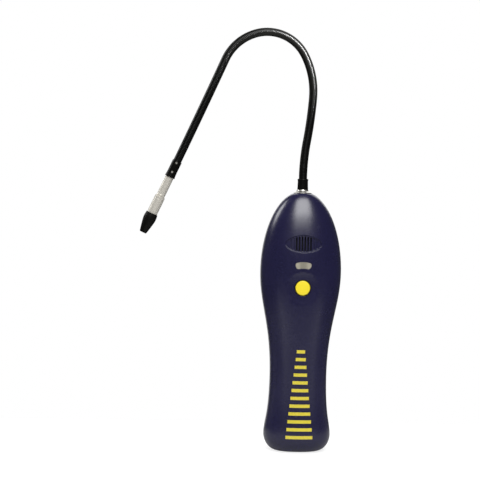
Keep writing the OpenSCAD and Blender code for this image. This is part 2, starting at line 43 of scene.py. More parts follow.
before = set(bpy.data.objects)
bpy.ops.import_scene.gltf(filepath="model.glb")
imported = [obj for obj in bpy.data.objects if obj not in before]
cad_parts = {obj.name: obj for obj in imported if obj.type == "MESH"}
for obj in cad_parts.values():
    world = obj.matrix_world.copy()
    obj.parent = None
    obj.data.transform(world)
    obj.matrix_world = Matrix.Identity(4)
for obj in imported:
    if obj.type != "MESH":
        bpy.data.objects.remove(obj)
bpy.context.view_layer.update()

MM = 0.001
FRONT = -1
REAR = 1
TINY = 0.001 * MM
DOUBLES = 0.002 * MM
SHELL_ANGLE = 42
SHELL_GLOSS = 0.27
SHELL_EDGE = 0.35 * MM
SHELL_SHINE = 0.7
DISH_LEAN = math.radians(2.5)
STEM_BORE = 4.8 * MM
BOSS_RADIUS = 4.6 * MM
BOSS_FOOT = 1 * MM
WELL_RADIUS = 3.3 * MM
WELL_FLOOR = 4 * MM
SCREW_HOLE = 1.7 * MM
BLIND_SLOT = 0.7 * MM
DOOR_MARGIN = 8 * MM
PAST_SKIN = 4 * MM
SLOTS = 10
OPEN_SLOTS = 6

# Gooseneck from the housing top to the sensor, each step a length in millimetres and a left turn in degrees
NECK_BENDS = (
    (13.6, 0.0),
    (31.0, -9.5),
    (36.5, 5.7),
    (37.5, 31.7),
    (49.0, 78.5),
    (35.5, 50.0),
    (110.0, -1.1),
)
# Screws of the housing, each as a distance from the middle and a height in millimetres
SCREW_PLACES = ((16.97, 198.02), (20.6, 20.0))


def length(name, description, millimetres):
    """A length that the user can change, given in millimetres."""
    return FloatProperty(
        name=name,
        description=description,
        default=millimetres * MM,
        unit="LENGTH",
        subtype="DISTANCE",
        precision=5,
    )


def degrees(name, description, value):
    """An angle that the user can change, given in degrees."""
    return FloatProperty(name=name, description=description, default=math.radians(value), subtype="ANGLE")


def number(name, description, value):
    """A plain number that the user can change."""
    return FloatProperty(name=name, description=description, default=value)


def linear(channel):
    """Scene value of an 8-bit screen value."""
    share = channel / 255
    if share <= 0.04045:
        return share / 12.92
    return ((share + 0.055) / 1.055) ** 2.4


def colour(name, description, red, green, blue):
    """A colour that the user can change, given as screen values."""
    return FloatVectorProperty(
        name=name,
        description=description,
        default=(linear(red), linear(green), linear(blue)),
        subtype="COLOR",
        min=0,
        max=1,
    )


class HousingSizes(bpy.types.PropertyGroup):
    """Outline of the moulded housing"""

    height: FloatProperty(
        name="Height",
        description="Height of the housing from the foot to the flat top",
        default=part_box("front_housing")[1].z,
        unit="LENGTH",
        subtype="DISTANCE",
    )
    head_width: length("Head width", "Widest part of the head", 69)
    head_height: length("Head height", "Height of the widest part of the head", 153)
    head_depth: length("Head depth", "Depth of the head", 48)
    waist_width: length("Waist width", "Narrowest part of the grip", 48.5)
    waist_height: length("Waist height", "Height of the narrowest part of the grip", 64)
    waist_depth: length("Waist depth", "Depth of the grip", 41)
    foot_width: length("Foot width", "Widest part of the foot", 57)
    foot_height: length("Foot height", "Height of the widest part of the foot", 14)
    foot_depth: length("Foot depth", "Depth of the foot", 46)
    foot_flat: length("Foot flat", "Width of the flat face that it stands on", 34)
    top_flat: length("Top flat", "Width of the seat for the probe", 17)
    wall: length("Wall", "Thickness of the moulded wall", 2.5)
    seam: length("Seam", "Rounding along the parting line", 0.35)
    squareness: number("Squareness", "Power of the cross section, where 2 is an ellipse", 2.35)
    columns: IntProperty(name="Columns", description="Faces around half of the housing", default=64)
    rows: IntProperty(name="Rows", description="Rings in each part of the outline", default=20)


class PanelSizes(bpy.types.PropertyGroup):
    """Grille, dish, key, lens and door"""

    grille_width: length("Grille width", "Width of the oval recess at its front", 34)
    grille_height: length("Grille height", "Height of the oval recess at its front", 15.4)
    grille_flare: number("Grille flare", "Slope of the oval's wall, where 1 is half a right angle", 0.8)
    grille_depth: length("Grille depth", "Depth of the oval recess", 0.9)
    slot_pitch: length("Slot pitch", "Spacing of the slots", 2.4)
    slot_width: length("Slot width", "Width of a slot", 1.3)
    dish_width: length("Dish width", "Half width of the ellipsoid that forms the finger dish", 109.5)
    dish_height: length("Dish height", "Half height of the ellipsoid that forms the finger dish", 42.7)
    dish_reach: length("Dish reach", "Half depth of the ellipsoid that forms the finger dish", 20)
    key_diameter: length("Key diameter", "Diameter of the power key", 12.4)
    key_proud: length("Key stands proud", "How far the key stands out of the dish", 0.9)
    key_gap: length("Key gap", "Gap around the key", 0.8)
    lens_inner: length("Lens inner radius", "Inner radius of the lens about the key", 16.4)
    lens_outer: length("Lens outer radius", "Outer radius of the lens about the key", 22)
    lens_corner: length("Lens corner", "Rounding of the lens corners", 2.2)
    lens_gap: length("Lens gap", "Gap around the lens", 0.15)
    lens_angle: degrees("Lens angle", "Half angle of the lens seen from the key", 20)
    door_thickness: length("Door thickness", "Thickness of the battery door", 1.5)
    door_gap: length("Door gap", "Gap around the battery door", 0.3)
    door_corner: length("Door corner", "Rounding of the upper door corners", 4)
    hatch_width: length("Hatch width", "Width of the battery opening", 27.6)
    hatch_ledge: length("Hatch ledge", "Height of the ledge under the door's ends", 2.4)


class ProbeSizes(bpy.types.PropertyGroup):
    """Gooseneck and sensor"""

    neck_diameter: length("Gooseneck diameter", "Outside diameter of the winding", 7.1)
    winding_pitch: length("Winding pitch", "Spacing of the turns of the winding", 1.25)
    winding_depth: length("Winding depth", "Depth of the groove between two turns", 0.1)
    neck_root: length("Gooseneck root", "Length of the gooseneck inside the collar", 8)
    sleeve_cover: length("Sleeve cover", "Depth of the gooseneck's end in the tip sleeve", 4)
    socket_length: length("Socket length", "Length of the sensor socket outside its sleeve", 18)
    socket_diameter: length("Socket diameter", "Diameter of the sensor socket", 7.2)
    barrel_length: length("Barrel length", "Length of the sensor barrel in sight", 16)
    barrel_diameter: length("Barrel diameter", "Diameter of the sensor barrel", 8.8)
    guard_length: length("Guard length", "Length of the tip guard", 18)
    inlet_diameter: length("Inlet diameter", "Air inlet in the tip guard", 3)


class FinishColours(bpy.types.PropertyGroup):
    """Colours of the finishes"""

    navy: colour("Navy shell", "Moulded housing", 24, 22, 57)
    print_yellow: colour("Print", "Printed level scale", 222, 205, 62)
    key_yellow: colour("Key", "Power key", 248, 224, 46)
    lens_grey: colour("Lens", "Smoky window of the lamp", 190, 184, 166)
    neck_black: colour("Gooseneck", "Plated winding", 9, 9, 8)
    rubber_black: colour("Rubber", "Sleeves and tip guard", 10, 9, 7)
    aluminium: colour("Aluminium", "Sensor socket and barrel", 216, 212, 202)
    plated: colour("Plated brass", "Probe collar and nut", 206, 204, 198)
    tray_black: colour("Tray", "Battery tray", 28, 28, 30)
    jacket_dark: colour("Cell jacket", "Lower part of a cell's wrap", 40, 42, 46)
    jacket_copper: colour("Cell band", "Upper band of a cell's wrap", 188, 122, 62)
    board_green: colour("Board", "Solder mask of the circuit board", 28, 92, 58)


class StudioLight(bpy.types.PropertyGroup):
    """Camera and lamps"""

    camera_turn: degrees("Camera turn", "Camera's angle to the left of the front", 3.2)
    camera_rise: degrees("Camera rise", "Camera's angle above the level", 3)
    camera_roll: degrees("Camera roll", "Camera's roll about its view", 1.35)
    view_width: length("View width", "Width of the picture at the object", 410)
    aim_side: length("Aim aside", "Picture's middle beside the foot, to the right", -52.4)
    aim_height: length("Aim height", "Picture's middle above the foot", 179)
    key_power: number("Key lamp", "Power of the lamp above the front", 11.0)
    fill_power: number("Fill lamp", "Power of the lamp under the key lamp", 1.3)
    side_power: number("Side lamp", "Power of the lamp behind on the left", 3.6)
    rear_power: number("Rear lamp", "Power of the broad lamp behind", 8.0)
    near_power: number("Near lamp", "Power of the spot on the gooseneck", 160.0)
    world_power: number("Surround", "Strength of the even light around", 0.3)


def start_clean():
    """Leaves edit mode and selects nothing."""
    if bpy.context.object is not None and bpy.context.object.mode != "OBJECT":
        bpy.ops.object.mode_set(mode="OBJECT")
    bpy.ops.object.select_all(action="DESELECT")


def pick(obj):
    """Makes one object the only selected and active one."""
    start_clean()
    obj.select_set(True)
    bpy.context.view_layer.objects.active = obj


def open_edit(obj, action="DESELECT"):
    """Opens one object in edit mode with nothing or everything selected."""
    pick(obj)
    bpy.ops.object.mode_set(mode="EDIT")
    bpy.ops.mesh.select_all(action=action)


def choose(obj, kind, test):
    """Selects the vertices, edges or faces of the open mesh that pass a test."""
    bpy.ops.mesh.select_mode(type={"verts": "VERT", "edges": "EDGE", "faces": "FACE"}[kind])
    mesh = bmesh.from_edit_mesh(obj.data)
    chosen = 0
    for part in getattr(mesh, kind):
        part.select = bool(test(part))
        chosen += part.select
    if not chosen:
        raise RuntimeError(f"nothing to select on {obj.name}")
    mesh.select_flush_mode()
    bmesh.update_edit_mesh(obj.data)


def close_edit():
    bpy.ops.object.mode_set(mode="OBJECT")


def close_outwards():
    """Turns all normals outwards and leaves edit mode."""
    bpy.ops.mesh.select_all(action="SELECT")
    bpy.ops.mesh.normals_make_consistent(inside=False)
    close_edit()


def merge(obj):
    """Merges doubles and turns the normals outwards."""
    open_edit(obj, "SELECT")
    bpy.ops.mesh.remove_doubles(threshold=DOUBLES)
    close_outwards()


def split_many_sided(obj):
    """Splits faces with more than four sides into well-shaped triangles."""
    open_edit(obj)
    choose(obj, "faces", lambda face: len(face.verts) > 4)
    bpy.ops.mesh.quads_convert_to_tris(quad_method="BEAUTY", ngon_method="BEAUTY")
    bpy.ops.mesh.select_all(action="SELECT")
    bpy.ops.mesh.dissolve_degenerate(threshold=TINY)
    close_edit()


def modify(obj, kind, **settings):
    """Adds one modifier with its settings and applies it."""
    modifier = obj.modifiers.new(kind, kind)
    for key, value in settings.items():
        setattr(modifier, key, value)
    pick(obj)
    bpy.ops.object.modifier_apply(modifier=modifier.name)


def copy_of(obj, name):
    """A copy with its own mesh."""
    twin = obj.copy()
    twin.data = obj.data.copy()
    twin.name = name
    twin.data.name = name
    bpy.context.scene.collection.objects.link(twin)
    return twin


def drop(*objects):
    """Removes helper objects."""
    for obj in objects:
        bpy.data.objects.remove(obj, do_unlink=True)


def carve(obj, cutter, operation="DIFFERENCE"):
    """Cuts, joins or crops an object with another one, which is then removed."""
    modify(obj, "BOOLEAN", object=cutter, operation=operation, solver="MANIFOLD")
    if not obj.data.polygons:
        raise RuntimeError(f"nothing is left of {obj.name} after {cutter.name}")
    drop(cutter)


def soften(obj, width, segments=2, angle=30):
    """Rounds the sharp edges."""
    limit = math.radians(angle)
    modify(obj, "BEVEL", width=width, segments=segments, limit_method="ANGLE", angle_limit=limit)


def shade(obj, angle=30):
    """Smooth shading apart from sharp edges."""
    pick(obj)
    bpy.ops.object.shade_smooth_by_angle(angle=math.radians(angle))


def shade_evenly(obj, angle=30):
    """Smooth shading apart from sharp edges, with normals that favour the large faces."""
    shade(obj, angle)
    modify(obj, "WEIGHTED_NORMAL", keep_sharp=True)


def smooth_copy(node, name, angle=30):
    """Merged and smoothed copy of a CAD node."""
    twin = bpy.data.objects.new(name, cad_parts[node].data.copy())
    bpy.context.scene.collection.objects.link(twin)
    pick(twin)
    bpy.ops.mesh.customdata_custom_splitnormals_clear()
    open_edit(twin, "SELECT")
    bpy.ops.mesh.remove_doubles(threshold=DOUBLES)
    bpy.ops.mesh.dissolve_limited(angle_limit=math.radians(1))
    close_edit()
    shade_evenly(twin, angle)
    return twin


def finish_piece(obj, material, body, nodes):
    """Gives a piece its finish and its body, and hides the CAD nodes that it stands for."""
    obj.data.materials.clear()
    obj.data.materials.append(material)
    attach(obj, body)
    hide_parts(*nodes)


def freeze(name):
    """Names the new object and puts its place, turn and size into its mesh."""
    obj = bpy.context.object
    obj.name = name
    bpy.ops.object.transform_apply(location=True, rotation=True, scale=True)
    return obj


def settle(obj, matrix):
    """Moves a finished shape to its place and leaves the object at the origin."""
    pick(obj)
    obj.matrix_world = matrix
    freeze(obj.name)


def bezier(a, b, c, d, t):
    return a * (1 - t) ** 3 + 3 * b * t * (1 - t) ** 2 + 3 * c * t * t * (1 - t) + d * t**3


def at_height(point, height):
    return Vector((height, point.y, point.z))


def stations(sizes):
    """Height, half width and half depth of each ring, from the foot to the top."""
    flat_depth = sizes.foot_depth - (sizes.foot_width - sizes.foot_flat)
    flat = Vector((0, sizes.foot_flat / 2, flat_depth / 2))
    foot = Vector((sizes.foot_height, sizes.foot_width / 2, sizes.foot_depth / 2))
    waist = Vector((sizes.waist_height, sizes.waist_width / 2, sizes.waist_depth / 2))
    head = Vector((sizes.head_height, sizes.head_width / 2, sizes.head_depth / 2))
    shares = [k / sizes.rows for k in range(sizes.rows)]
    bulge = 0.55
    middle = flat + bulge * (foot - flat)
    rows = [
        bezier(flat, at_height(middle, 0), at_height(foot, foot.x * (1 - bulge)), foot, t) for t in shares
    ]
    rise = waist.x - foot.x
    low = at_height(foot, foot.x + 0.2 * rise)
    rows += [bezier(foot, low, at_height(waist, waist.x - 0.7 * rise), waist, t) for t in shares]
    rise = head.x - waist.x
    low = at_height(waist, waist.x + 0.5 * rise)
    rows += [bezier(waist, low, at_height(head, head.x - 0.32 * rise), head, t) for t in shares]
    turn_wide = math.acos(sizes.top_flat / sizes.head_width)
    turn_deep = math.acos(sizes.top_flat / sizes.head_depth)
    dome = (sizes.height - head.x) / math.sin(turn_wide)
    for t in shares + [1]:
        height = head.x + dome * math.sin(t * turn_wide)
        rows.append(Vector((height, head.y * math.cos(t * turn_wide), head.z * math.cos(t * turn_deep))))
    return rows


def bow(value, squareness):
    return math.copysign(abs(value) ** (2 / squareness), value)


def half_depth(sizes, height):
    """Half depth of the housing at a height."""
    rows = stations(sizes)
    for low, high in zip(rows, rows[1:]):
        if low.x <= height <= high.x:
            return low.z + (high.z - low.z) * (height - low.x) / (high.x - low.x)
    raise ValueError(f"no station of the housing at {height}")


def drawn_ring(name, points, fill="NOTHING"):
    """Closed line or face through some points, drawn as a circle and moved to them."""
    start_clean()
    bpy.ops.mesh.primitive_circle_add(vertices=len(points), radius=1, fill_type=fill)
    ring = bpy.context.object
    ring.name = name
    for vertex, point in zip(ring.data.vertices, points):
        vertex.co = point
    return ring


def open_chain(name, points):
    """Open line through some points, drawn as a ring that is cut at its start."""
    chain = drawn_ring(name, points)
    open_edit(chain)
    choose(chain, "edges", lambda edge: {v.index for v in edge.verts} == {0, len(points) - 1})
    bpy.ops.mesh.delete(type="EDGE")
    close_edit()
    return chain


def half_loft(name, sizes, side):
    """Half of the housing's skin, drawn as a half ring and extruded up through its stations."""
    rows = stations(sizes)
    first = rows[0]
    ring = []
    for k in range(sizes.columns + 1):
        angle = math.pi * k / sizes.columns
        across = first.y * bow(math.cos(angle), sizes.squareness)
        deep = side * first.z * bow(math.sin(angle), sizes.squareness)
        ring.append((across, 0 if k in (0, sizes.columns) else deep, first.x))
    skin = open_chain(name, ring)
    open_edit(skin, "SELECT")
    for low, high in zip(rows, rows[1:]):
        bpy.ops.mesh.extrude_region_move(TRANSFORM_OT_translate={"value": (0, 0, high.x - low.x)})
        bpy.ops.transform.resize(value=(high.y / low.y, high.z / low.z, 1), center_override=(0, 0, high.x))
    bpy.ops.mesh.edge_face_add()
    choose(skin, "verts", lambda vertex: vertex.co.z < TINY)
    bpy.ops.mesh.edge_face_add()
    close_outwards()
    probe = max(skin.data.polygons, key=lambda face: face.center.y * side)
    if probe.normal.y * side < 0:
        skin.data.flip_normals()
    return skin


def filled(skin):
    """Solid half of the housing, from its skin closed along the parting line."""
    solid = copy_of(skin, "half_body")
    open_edit(solid)
    choose(solid, "edges", lambda edge: edge.is_boundary)
    bpy.ops.mesh.edge_face_add()
    close_edit()
    return solid


def thicken(obj, inwards, outwards=0.0):
    """Gives a skin its wall, from inside the skin to outside it."""
    thickness = inwards + outwards
    modify(
        obj,
        "SOLIDIFY",
        thickness=thickness,
        offset=(outwards - inwards) / thickness,
        use_even_offset=True,
        use_quality_normals=True,
    )
    return obj


def band(skin, low, high, inwards, outwards=0.0):
    """Layer along the skin between two heights."""
    strip = copy_of(skin, "band")
    open_edit(strip)
    choose(strip, "faces", lambda face: not low < face.calc_center_median().z < high)
    bpy.ops.mesh.delete(type="FACE")
    close_edit()
    return thicken(strip, inwards, outwards)


def walled(skin, name, sizes):
    """Half of the housing with its wall, rounded along the outside of the parting line."""
    shell = thicken(copy_of(skin, name), sizes.wall)
    count = len(skin.data.vertices)
    open_edit(shell)
    choose(
        shell,
        "edges",
        lambda edge: all(v.index < count and abs(v.co.y) < TINY for v in edge.verts),
    )
    bpy.ops.mesh.bevel(offset=sizes.seam, segments=3, affect="EDGES")
    close_edit()
    return shell


def rod(name, radius, start, end, place, vertices=64):
    """Round rod along Y between two depths, at a place across and up."""
    start_clean()
    bpy.ops.mesh.primitive_cylinder_add(
        vertices=vertices,
        radius=radius,
        depth=end - start,
        location=(place[0], (start + end) / 2, place[1]),
        rotation=(math.pi / 2, 0, 0),
    )
    return freeze(name)


def ball(name, radii, place, segments, rings, lean=0.0):
    """Ball or ellipsoid, leant about X."""
    start_clean()
    bpy.ops.mesh.primitive_uv_sphere_add(
        segments=segments, ring_count=rings, radius=1, location=place, rotation=(lean, 0, 0), scale=radii
    )
    return freeze(name)


def block(name, low, high):
    """Box between two corners."""
    start_clean()
    size = Vector(high) - Vector(low)
    bpy.ops.mesh.primitive_cube_add(size=1, location=Vector(low) + size / 2, scale=size)
    return freeze(name)


def drawn_prism(name, outline, start, end, corner=0.0, corners=()):
    """Outline drawn across and up, with some corners rounded, and extruded along Y."""
    prism = drawn_ring(name, [(across, start, height) for across, height in outline], "NGON")
    open_edit(prism)
    if corners:
        choose(prism, "verts", lambda vertex: vertex.index in corners)
        bpy.ops.mesh.bevel(offset=corner, segments=6, affect="VERTICES")
    bpy.ops.mesh.select_all(action="SELECT")
    bpy.ops.mesh.extrude_region_move(TRANSFORM_OT_translate={"value": (0, end - start, 0)})
    close_outwards()
    return prism


def lens_outline(panel, middle, shrink):
    """Annular sector above the key with arcs that stay clear of its corners, and the corners' numbers."""
    steps = 12
    outline = []
    for radius, turn in ((panel.lens_inner + shrink, 1), (panel.lens_outer - shrink, -1)):
        span = panel.lens_angle - shrink / radius
        clear = span - 1.1 * panel.lens_corner / radius
        inner = [clear * (2 * k / steps - 1) for k in range(steps + 1)]
        for angle in [-span, *inner, span]:
            outline.append((radius * math.sin(turn * angle), middle + radius * math.cos(angle)))
    return outline, (0, steps + 2, steps + 3, 2 * steps + 5)


def spun(name, profile, steps=72):
    """Solid of revolution about Z, from a closed outline of radius and height in millimetres."""
    piece = drawn_ring(name, [(radius * MM, 0, height * MM) for radius, height in profile])
    open_edit(piece, "SELECT")
    bpy.ops.mesh.spin(steps=steps, angle=2 * math.pi, center=(0, 0, 0), axis=(0, 0, 1))
    close_edit()
    merge(piece)
    return piece


def advance(pose, bend):
    """Place and heading after one step of the gooseneck."""
    across, height, heading = pose
    span, turn = bend[0] * MM, math.radians(bend[1])
    if turn == 0:
        return (across - span * math.sin(heading), height + span * math.cos(heading), heading)
    radius = span / turn
    after = heading + turn
    return (
        across + radius * (math.cos(after) - math.cos(heading)),
        height + radius * (math.sin(after) - math.sin(heading)),
        after,
    )


def tip_matrix(height):
    """Frame at the end of the gooseneck, with Z along the sensor."""
    pose = (0, height, 0)
    for bend in NECK_BENDS:
        pose = advance(pose, bend)
    return Matrix.Translation((pose[0], 0, pose[1])) @ Matrix.Rotation(-pose[2], 4, "Y")


class Wiring:
    """Adds nodes to a tree, with each input given as a value or as the socket that feeds it."""

    def __init__(self, tree):
        self.tree = tree

    def add(self, kind, inputs=None, **settings):
        node = self.tree.nodes.new(kind)
        for key, value in settings.items():
            setattr(node, key, value)
        for key, value in (inputs or {}).items():
            self.feed(node.inputs[key], value)
        return node

    def feed(self, socket, value):
        if isinstance(value, bpy.types.NodeSocket):
            self.tree.links.new(value, socket)
        else:
            socket.default_value = value

    def math(self, operation, first, second=0.0, **settings):
        node = self.add("ShaderNodeMath", {0: first, 1: second}, operation=operation, **settings)
        return node.outputs[0]

    def mix(self, factor, first, second):
        node = self.add("ShaderNodeMix", {0: factor}, data_type="RGBA")
        self.feed(node.inputs["A"], first)
        self.feed(node.inputs["B"], second)
        return node.outputs["Result"]

    def spread(self, value, low, high, start=0.0, end=1.0, **settings):
        """Stretches a value from the span between start and end over the one between low and high."""
        inputs = {"Value": value, "From Min": start, "From Max": end, "To Min": low, "To Max": high}
        return self.add("ShaderNodeMapRange", inputs, **settings).outputs["Result"]

    def axes(self, vector):
        """Parts of a vector, by the names of the axes."""
        return self.add("ShaderNodeSeparateXYZ", {"Vector": vector}).outputs

    def noise(self, vector, scale, detail):
        inputs = {"Vector": vector, "Scale": scale, "Detail": detail}
        return self.add("ShaderNodeTexNoise", inputs).outputs[0]


def new_group(name, numbers, outputs):
    """Empty node group with a vector and some numbers going in, and numbers coming out."""
    group = bpy.data.node_groups.new(name, "ShaderNodeTree")
    group.interface.new_socket("Vector", in_out="INPUT", socket_type="NodeSocketVector")
    for socket in numbers:
        group.interface.new_socket(socket, in_out="INPUT", socket_type="NodeSocketFloat")
    for socket in outputs:
        group.interface.new_socket(socket, in_out="OUTPUT", socket_type="NodeSocketFloat")
    wires = Wiring(group)
    return group, wires, wires.add("NodeGroupInput").outputs, wires.add("NodeGroupOutput").inputs


def moulded_grain_group():
    """Fine sparkle of a moulded face, and slow changes of its tone and gloss."""
    group, wires, given, result = new_group("moulded_grain", ("Grain", "Patch"), ("Height", "Tone", "Gloss"))
    grain = wires.noise(given["Vector"], given["Grain"], 3.0)
    patch = wires.noise(given["Vector"], given["Patch"], 2.0)
    wires.feed(result["Height"], grain)
    wires.feed(result["Tone"], patch)
    fine = wires.math("MULTIPLY", grain, 0.35)
    slow = wires.math("MULTIPLY", patch, 0.65)
    wires.feed(result["Gloss"], wires.math("ADD", fine, slow))
    return group


def brushed_group():
    """Fine lines along Z, for a drawn or turned metal face."""
    group, wires, given, result = new_group("brushed_lines", ("Fineness", "Stretch"), ("Height", "Tone"))
    stretch = wires.add("ShaderNodeCombineXYZ", {"X": 1.0, "Y": 1.0, "Z": given["Stretch"]})
    drawn = wires.add(
        "ShaderNodeVectorMath", {0: given["Vector"], 1: stretch.outputs[0]}, operation="MULTIPLY"
    )
    lines = wires.noise(drawn.outputs[0], given["Fineness"], 3.0)
    wires.feed(result["Height"], lines)
    wires.feed(result["Tone"], lines)
    return group


def scuff_group():
    """Sparse small rubs from handling."""
    group, wires, given, result = new_group("handling_rubs", ("Size", "Cover"), ("Mask",))
    broad = wires.noise(given["Vector"], given["Size"], 6.0)
    over = wires.math("SUBTRACT", broad, wires.math("SUBTRACT", 1.0, given["Cover"]))
    wires.feed(result["Mask"], wires.math("MULTIPLY", over, 9.0, use_clamp=True))
    return group


def level_scale_group():
    """Printed bars on the grip that narrow from the lowest to the highest."""
    group, wires, given, result = new_group("level_scale", (), ("Mask",))
    lowest, pitch, count, fill = 13 * MM, 6.6 * MM, 12, 0.42
    widest, narrowest, edge = 11.5 * MM, 3.6 * MM, 0.12 * MM
    place = wires.axes(given["Vector"])
    step = wires.math("DIVIDE", wires.math("SUBTRACT", place["Z"], lowest), pitch)
    index = wires.math("FLOOR", step)
    share = wires.math("FRACT", step)
    taper = wires.math("MULTIPLY", index, (widest - narrowest) / (count - 1))
    half = wires.math("SUBTRACT", widest, taper)
    inside = wires.math("SUBTRACT", half, wires.math("ABSOLUTE", place["X"]))
    across = wires.math("DIVIDE", inside, edge, use_clamp=True)
    above = wires.math("GREATER_THAN", index, -0.5)
    below = wires.math("LESS_THAN", index, count - 0.5)
    rows = wires.math("MULTIPLY", above, below)
    bar = wires.math("MULTIPLY", wires.math("LESS_THAN", share, fill), rows)
    ahead = wires.math("LESS_THAN", place["Y"], 0.0)
    wires.feed(result["Mask"], wires.math("MULTIPLY", across, wires.math("MULTIPLY", bar, ahead)))
    return group


def shared_group(name):
    """One of the node groups, built when it is first used."""
    makers = {
        "moulded_grain": moulded_grain_group,
        "brushed_lines": brushed_group,
        "handling_rubs": scuff_group,
        "level_scale": level_scale_group,
    }
    return bpy.data.node_groups.get(name) or makers[name]()


def new_material(name, **plain):
    """Material with its wiring, its shader and the object coordinates; plain values go on the shader."""
    material = bpy.data.materials.new(name)
    material.use_nodes = True
    wires = Wiring(material.node_tree)
    shader = material.node_tree.nodes["Principled BSDF"]
    for key, value in plain.items():
        shader.inputs[key.replace("_", " ").title().replace("Ior", "IOR")].default_value = value
    place = wires.add("ShaderNodeTexCoord").outputs["Object"]
    return material, wires, shader, place


def use_group(wires, name, inputs):
    return wires.add("ShaderNodeGroup", inputs, node_tree=shared_group(name)).outputs


def moulded(wires, place, grain, patch):
    """Height, tone and gloss of a moulded face."""
    return use_group(wires, "moulded_grain", {"Vector": place, "Grain": grain, "Patch": patch})


def handled(wires, place, size):
    """Mask of the rubs from handling."""
    return use_group(wires, "handling_rubs", {"Vector": place, "Size": size, "Cover": 0.36})["Mask"]


def opaque(rgb, factor=1.0):
    return (rgb[0] * factor, rgb[1] * factor, rgb[2] * factor, 1)


def toned(wires, tone, rgb, dark, pale):
    """Colour that changes slowly between a darker and a paler shade."""
    return wires.mix(tone, opaque(rgb, dark), opaque(rgb, pale))


def paint(wires, shader, base, rough):
    """Feeds the colour and the roughness of a finish."""
    wires.feed(shader.inputs["Base Color"], base)
    wires.feed(shader.inputs["Roughness"], rough)


def bump(wires, shader, height, strength, depth, edge=0.0):
    """Raises the shading by a height and softens sharp edges."""
    node = wires.add("ShaderNodeBump", {"Height": height, "Strength": strength, "Distance": depth})
    if edge:
        rounded = wires.add("ShaderNodeBevel", {"Radius": edge}, samples=6)
        wires.feed(node.inputs["Normal"], rounded.outputs["Normal"])
    wires.feed(shader.inputs["Normal"], node.outputs["Normal"])


def plastic(name, rgb, gloss, grain=2600.0, printed=None, depth=0.03, edge=0.0, **plain):
    """Moulded plastic with a fine grain, slow changes of gloss and a few rubs, printed where asked."""
    material, wires, shader, place = new_material(name, **plain)
    skin = moulded(wires, place, grain, 38.0)
    rubs = handled(wires, place, 120.0)
    tone = toned(wires, skin["Tone"], rgb, 0.86, 1.14)
    pale = opaque([channel * 0.95 + 0.02 for channel in rgb])
    surface_colour = wires.mix(wires.math("MULTIPLY", rubs, 0.18), tone, pale)
    if printed is not None:
        scale = use_group(wires, "level_scale", {"Vector": place})
        surface_colour = wires.mix(scale["Mask"], surface_colour, toned(wires, skin["Tone"], printed, 0.9, 1.06))
    rough = wires.spread(skin["Gloss"], gloss - 0.07, gloss + 0.07)
    paint(wires, shader, surface_colour, wires.math("ADD", rough, wires.math("MULTIPLY", rubs, 0.06)))
    bump(wires, shader, skin["Height"], 0.25, depth * MM, edge)
    return material


def shell_plastic(name, rgb, printed=None):
    """Plastic of the housing with softened edges."""
    return plastic(
        name, rgb, SHELL_GLOSS, printed=printed, edge=SHELL_EDGE, specular_ior_level=SHELL_SHINE
    )


def black_rubber(name, colours, gloss):
    """Rubber of the sleeve and the guard."""
    return plastic(name, colours.rubber_black, gloss, grain=1500.0, specular_ior_level=0.15)


def metal(name, rgb, rough, fineness=2400.0, stretch=0.03, turn=0.0, solid=1.0, **plain):
    """Metal with lines along its own axis, which may be turned about Y."""
    material, wires, shader, place = new_material(name, metallic=solid, **plain)
    turned = wires.add("ShaderNodeMapping", {"Vector": place, "Rotation": (0, turn, 0)}).outputs[0]
    lines = use_group(wires, "brushed_lines", {"Vector": turned, "Fineness": fineness, "Stretch": stretch})
    rubs = wires.math("MULTIPLY", handled(wires, place, 260.0), 0.15)
    surface_colour = wires.mix(rubs, toned(wires, lines["Tone"], rgb, 0.9, 1.05), opaque(rgb, 0.7))
    paint(wires, shader, surface_colour, wires.spread(lines["Tone"], rough - 0.06, rough + 0.08))
    bump(wires, shader, lines["Height"], 0.05, 0.004 * MM)
    return material


def dull_aluminium(name, colours, rough, turn):
    """Aluminium of the sensor, dulled by its clear finish."""
    return metal(name, colours.aluminium, rough, turn=turn, solid=0.42, specular_ior_level=0.1)


def crimped(name, colours, place, heights):
    """Black sleeve with pale spots painted on the two crimps, on the front and the back, as painted
    highlights of the dents' glints.
    """
    material, wires, shader, world = new_material(name, specular_ior_level=0.15)
    # Radii of the painted highlight on each crimp: full inside the first, gone past the second.
    glint_core, glint_edge = 0.5 * MM, 1.1 * MM
    local = wires.add(
        "ShaderNodeMapping",
        {"Vector": world, "Location": place.translation, "Rotation": tuple(place.to_euler())},
        vector_type="TEXTURE",
    )
    axes = wires.axes(local.outputs[0])
    skin = moulded(wires, world, 1500.0, 200.0)
    aside = wires.math("POWER", axes["X"], 2.0)
    painted_glints = 0.0
    for height in heights:
        along = wires.math("POWER", wires.math("SUBTRACT", axes["Z"], height), 2.0)
        away = wires.math("SQRT", wires.math("ADD", aside, along))
        painted_glints = wires.math("MAXIMUM", wires.spread(away, 1.0, 0.0, glint_core, glint_edge), painted_glints)
    black = toned(wires, skin["Tone"], colours.rubber_black, 0.85, 1.15)
    # Painted highlight: pale grey mixed in around each crimp in place of the glint on the dent.
    surface_colour = wires.mix(painted_glints, black, opaque(colours.aluminium, 0.4))
    paint(wires, shader, surface_colour, wires.spread(skin["Gloss"], 0.24, 0.42))
    bump(wires, shader, skin["Height"], 0.2, 0.02 * MM)
    return material


